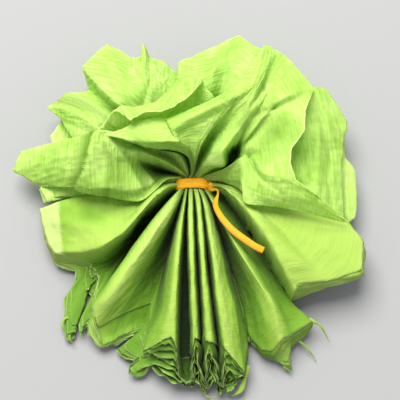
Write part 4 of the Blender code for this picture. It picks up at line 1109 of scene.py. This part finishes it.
def tie_material():
    """Orange strip with fine lengthwise fibres."""
    material, tree = new_material("tie_strip")
    link = tree.links.new
    uv = tree.nodes.new("ShaderNodeUVMap")
    uv.uv_map = "strip"
    mapping = tree.nodes.new("ShaderNodeMapping")
    mapping.inputs["Scale"].default_value = (160.0, 2600.0, 1.0)
    link(uv.outputs[0], mapping.inputs[0])
    fibre = node(tree, "ShaderNodeTexNoise", Scale=1.0, Detail=4.0, Roughness=0.6, Distortion=0.3)
    fibre.noise_dimensions = "2D"
    link(mapping.outputs[0], fibre.inputs["Vector"])
    cross = tree.nodes.new("ShaderNodeMapping")
    cross.inputs["Scale"].default_value = (1500.0, 200.0, 1.0)
    link(uv.outputs[0], cross.inputs[0])
    weave = node(tree, "ShaderNodeTexNoise", Scale=1.0, Detail=2.0, Roughness=0.5)
    weave.noise_dimensions = "2D"
    link(cross.outputs[0], weave.inputs["Vector"])
    mixed = math_node(tree, "ADD", math_node(tree, "MULTIPLY", fibre.outputs["Fac"], 0.6),
                      math_node(tree, "MULTIPLY", weave.outputs["Fac"], 0.4))
    colour = ramp(tree, mixed, [
        (0.30, (0.70, 0.25, 0.003)),
        (0.50, (0.86, 0.38, 0.006)),
        (0.70, (0.92, 0.50, 0.018)),
    ])
    # painted shade: the loose end is mixed darker than the loop
    parts = tree.nodes.new("ShaderNodeSeparateXYZ")
    link(uv.outputs[0], parts.inputs[0])
    loose = math_node(tree, "GREATER_THAN", parts.outputs["Y"], 0.05)
    colour = blended(tree, math_node(tree, "MULTIPLY", loose, 0.80), colour, (0.44, 0.27, 0.008))
    # painted shade: where it is folded lengthwise the strip shows a deeper line along one side
    lengthwise_shade = tree.nodes.new("ShaderNodeMapRange")
    lengthwise_shade.inputs["From Min"].default_value = 0.1004
    lengthwise_shade.inputs["From Max"].default_value = 0.1014
    lengthwise_shade.inputs["To Min"].default_value = 0.75
    lengthwise_shade.inputs["To Max"].default_value = 0.0
    link(parts.outputs["Y"], lengthwise_shade.inputs["Value"])
    colour = blended(tree, math_node(tree, "MULTIPLY", loose, lengthwise_shade.outputs[0]), colour, (0.42, 0.15, 0.002))
    bump = tree.nodes.new("ShaderNodeBump")
    bump.inputs["Strength"].default_value = 0.8
    bump.inputs["Distance"].default_value = 0.0002
    link(mixed, bump.inputs["Height"])
    shader = node(tree, "ShaderNodeBsdfPrincipled", Roughness=0.6)
    shader.inputs["Sheen Weight"].default_value = 0.04
    shader.inputs["Specular IOR Level"].default_value = 0.2
    link(colour, shader.inputs["Base Color"])
    link(bump.outputs[0], shader.inputs["Normal"])
    out = tree.nodes.new("ShaderNodeOutputMaterial")
    link(shader.outputs[0], out.inputs["Surface"])
    return material


def floor_material():
    material, tree = new_material("studio_floor")
    shader = node(tree, "ShaderNodeBsdfPrincipled", Roughness=0.9)
    shader.inputs["Base Color"].default_value = (0.30, 0.298, 0.295, 1.0)
    out = tree.nodes.new("ShaderNodeOutputMaterial")
    tree.links.new(shader.outputs[0], out.inputs["Surface"])
    return material


# ------------------------------------------------------------------ ribbon
def ribbon(name, centre, side, width, thick, material, closed=False, cross_bulge=0.0):
    """A strip swept along `centre`; `side` points across it at each place."""
    centre, side = np.asarray(centre, float), np.asarray(side, float)
    n = len(centre)
    across_n = 8
    tangent = np.gradient(centre, axis=0)
    if closed:
        tangent = np.roll(centre, -1, axis=0) - np.roll(centre, 1, axis=0)
    tangent /= np.linalg.norm(tangent, axis=1)[:, None]
    side = side - tangent * (side * tangent).sum(1)[:, None]
    side /= np.linalg.norm(side, axis=1)[:, None]
    face = np.cross(tangent, side)
    width = np.broadcast_to(width, (n,))
    ring_count = 2 * (across_n + 1)
    rings = []
    for j in range(across_n + 1):
        f = -0.5 + j / across_n
        lift = cross_bulge * (0.25 - f * f) * 4.0
        rings.append(centre + side * (f * width)[:, None] + face * (thick / 2 + lift))
    for j in range(across_n, -1, -1):
        f = -0.5 + j / across_n
        lift = cross_bulge * (0.25 - f * f) * 4.0
        rings.append(centre + side * (f * width)[:, None] + face * (-thick / 2 + lift))
    pts = np.stack(rings, 1)
    faces, uvs = [], []
    run = np.concatenate([[0], np.cumsum(np.linalg.norm(np.diff(centre, axis=0), axis=1))])
    spans = n if closed else n - 1
    for i in range(spans):
        i2 = (i + 1) % n
        for j in range(ring_count):
            j2 = (j + 1) % ring_count
            faces.append((i * ring_count + j, i * ring_count + j2,
                          i2 * ring_count + j2, i2 * ring_count + j))
            r2 = run[i2] if i2 else run[-1] + np.linalg.norm(centre[0] - centre[-1])

            def vcoord(q):
                return 0.0005 * (q if q <= across_n else ring_count - 1 - q)

            uvs += [(run[i], vcoord(j)), (run[i], vcoord(j2)), (r2, vcoord(j2)), (r2, vcoord(j))]
    if not closed:
        for i, flip in ((0, True), (n - 1, False)):
            for j in range(across_n):
                quad = [i * ring_count + j, i * ring_count + j + 1,
                        i * ring_count + ring_count - 2 - j, i * ring_count + ring_count - 1 - j]
                if flip:
                    quad.reverse()
                faces.append(tuple(quad))
                uvs += [(run[i], 0.0005 * j)] * 4
    return pts.reshape(-1, 3), faces, uvs


def mesh_object(name, parts, material, uv_name):
    verts, faces, uvs = [], [], []
    for v, f, t in parts:
        base = len(verts)
        verts += [tuple(p) for p in v]
        faces += [tuple(i + base for i in face) for face in f]
        uvs += list(t)
    mesh = bpy.data.meshes.new(name)
    mesh.from_pydata(verts, [], faces)
    layer = mesh.uv_layers.new(name=uv_name)
    flat = np.array(uvs, np.float32).ravel()
    layer.data.foreach_set("uv", flat)
    mesh.update()
    mesh.shade_smooth()
    mesh.materials.append(material)
    obj = bpy.data.objects.new(name, mesh)
    bpy.context.scene.collection.objects.link(obj)
    return obj


def smooth_path(points, n):
    pts = np.array(points, float)
    step = np.sqrt(np.linalg.norm(np.diff(pts, axis=0), axis=1))
    params = np.concatenate([[0], np.cumsum(step)])
    return catmull(pts, params, np.linspace(0, params[-1], n))


def build_tie(material):
    parts = []
    # the loop round the pleats: flat below, arched above
    n = 120
    a = np.linspace(0, 2 * math.pi, n, endpoint=False)
    for turn, (shift, lift, half) in enumerate(((0.0, 0.0, 8.15), (0.35, 0.32, 8.45))):
        x = 1.0 + half * np.sign(np.cos(a)) * np.abs(np.cos(a)) ** 0.55
        z = 7.0 + (6.7 + lift) * np.sign(np.sin(a)) * np.abs(np.sin(a)) ** 0.42
        if turn == 1:
            z = np.maximum(z, 0.45)
        y = shift + 0.25 * np.sin(a * 2 + turn) + 0.15 * np.sin(5 * a + turn)
        centre = np.stack([x, y, z], 1) * MM
        side = np.tile([0.0, 1.0, 0.0], (n, 1))
        width = (5.2 + 0.2 * np.sin(3 * a + turn) - 0.6 * turn) * MM
        parts.append(ribbon("loop", centre, side, width, 0.00035, material, closed=True))
    # the knot: a short wrap over the strip at the right
    t = np.linspace(0, 2 * math.pi, 40, endpoint=False)
    centre = np.stack([9.7 + 1.0 * np.cos(t), -1.9 + 1.5 * np.sin(t), 12.2 + 1.5 * np.sin(t + 0.6)], 1) * MM
    side = np.tile([0.75, 0.15, 0.65], (40, 1))
    parts.append(ribbon("wrap", centre, side, 0.0024, 0.0007, material, closed=True))
    # the loose end: twisted near the knot, then flat over the ridges
    marks = [W(208.5, 185.5, 12.5), W(212, 189, 15.5), W(217.2, 190.2, 18.5), W(217.8, 194, 20),
             W(216, 199.5, 21.5), W(215.4, 205, 23.3), W(218.4, 212.5, 25.6), W(224.5, 221.4, 27.2),
             W(233.5, 231, 28.4), W(245.6, 240, 28.8), W(254.6, 246, 29.0), W(263.5, 250.5, 28.6)]
    path = smooth_path(marks, 110)
    tangent = np.gradient(path, axis=0)
    tangent /= np.linalg.norm(tangent, axis=1)[:, None]
    flat_side = np.cross(np.tile([0.0, 0.0, 1.0], (110, 1)), tangent)
    flat_side /= np.linalg.norm(flat_side, axis=1)[:, None]
    s = np.linspace(0, 1, 110)
    twist = math.pi * (1.0 - smooth(s / 0.42)) + 0.25 * np.sin(s * 9.0) * (1 - s)
    up = np.cross(tangent, flat_side)
    side = flat_side * np.cos(twist)[:, None] + up * np.sin(twist)[:, None]
    width = (2.2 + 1.2 * smooth((s - 0.2) / 0.5)) * MM
    tail = ribbon("tail", path, side, width, 0.0004, material, cross_bulge=0.00025)
    parts.append((tail[0], tail[1], [(a, b + 0.1) for a, b in tail[2]]))
    obj = mesh_object("tie_strip", parts, material, "strip")
    return obj


# ------------------------------------------------------------------- build
add_camera()
SIZES = [(281, 70, 80), (261, 66, 74), (261, 60, 80), (201, 60, 50), (181, 60, 36),
         (181, 60, 36), (181, 60, 36), (181, 60, 36)]
LIME = (0.60, 0.80, 0.185)
for _k in range(8):
    cols, near_rows, far_rows = SIZES[_k]
    tint = (LIME[0] * (1.0 - 0.02 * _k), LIME[1] * (1.0 - 0.015 * _k), LIME[2])
    paper, _ = build_sheet(_k, cols, near_rows, far_rows,
                           crepe_material(f"crepe_{_k + 1}", tint, _k + 1, 0.52 if _k < 3 else 0.36))
    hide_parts(f"crepe_sheet_{_k + 1}")
    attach(paper, "root")

tie = build_tie(tie_material())
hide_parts("tie_band")
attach(tie, "root")


# ------------------------------------------------------- floor and lights
def add_floor():
    mesh = bpy.data.meshes.new("floor")
    r = 2.5
    mesh.from_pydata([(-r, -r, 0), (r, -r, 0), (r, r, 0), (-r, r, 0)], [], [(0, 1, 2, 3)])
    mesh.materials.append(floor_material())
    obj = bpy.data.objects.new("floor", mesh)
    bpy.context.scene.collection.objects.link(obj)


def add_light(name, location, size, power, colour=(1, 1, 1)):
    from mathutils import Vector
    light = bpy.data.lights.new(name, "AREA")
    light.shape = "DISK"
    light.size = size
    light.energy = power
    light.color = colour
    obj = bpy.data.objects.new(name, light)
    obj.location = location
    aim = Vector((0, 0, 0.02)) - Vector(location)
    obj.rotation_euler = aim.to_track_quat("-Z", "Y").to_euler()
    bpy.context.scene.collection.objects.link(obj)


add_floor()
add_light("window", (-0.24, 0.62, 1.34), 1.1, 47.0, (1.0, 1.0, 0.98))
add_light("fill", (0.7, -0.6, 0.9), 0.9, 1.2, (0.95, 0.98, 1.0))
world = bpy.data.worlds.new("studio")
bpy.context.scene.world = world
world.use_nodes = True
world.node_tree.nodes["Background"].inputs[0].default_value = (0.93, 0.96, 1.0, 1.0)
world.node_tree.nodes["Background"].inputs[1].default_value = 0.60
bpy.context.scene.view_settings.view_transform = "Standard"
bpy.context.scene.view_settings.look = "None"
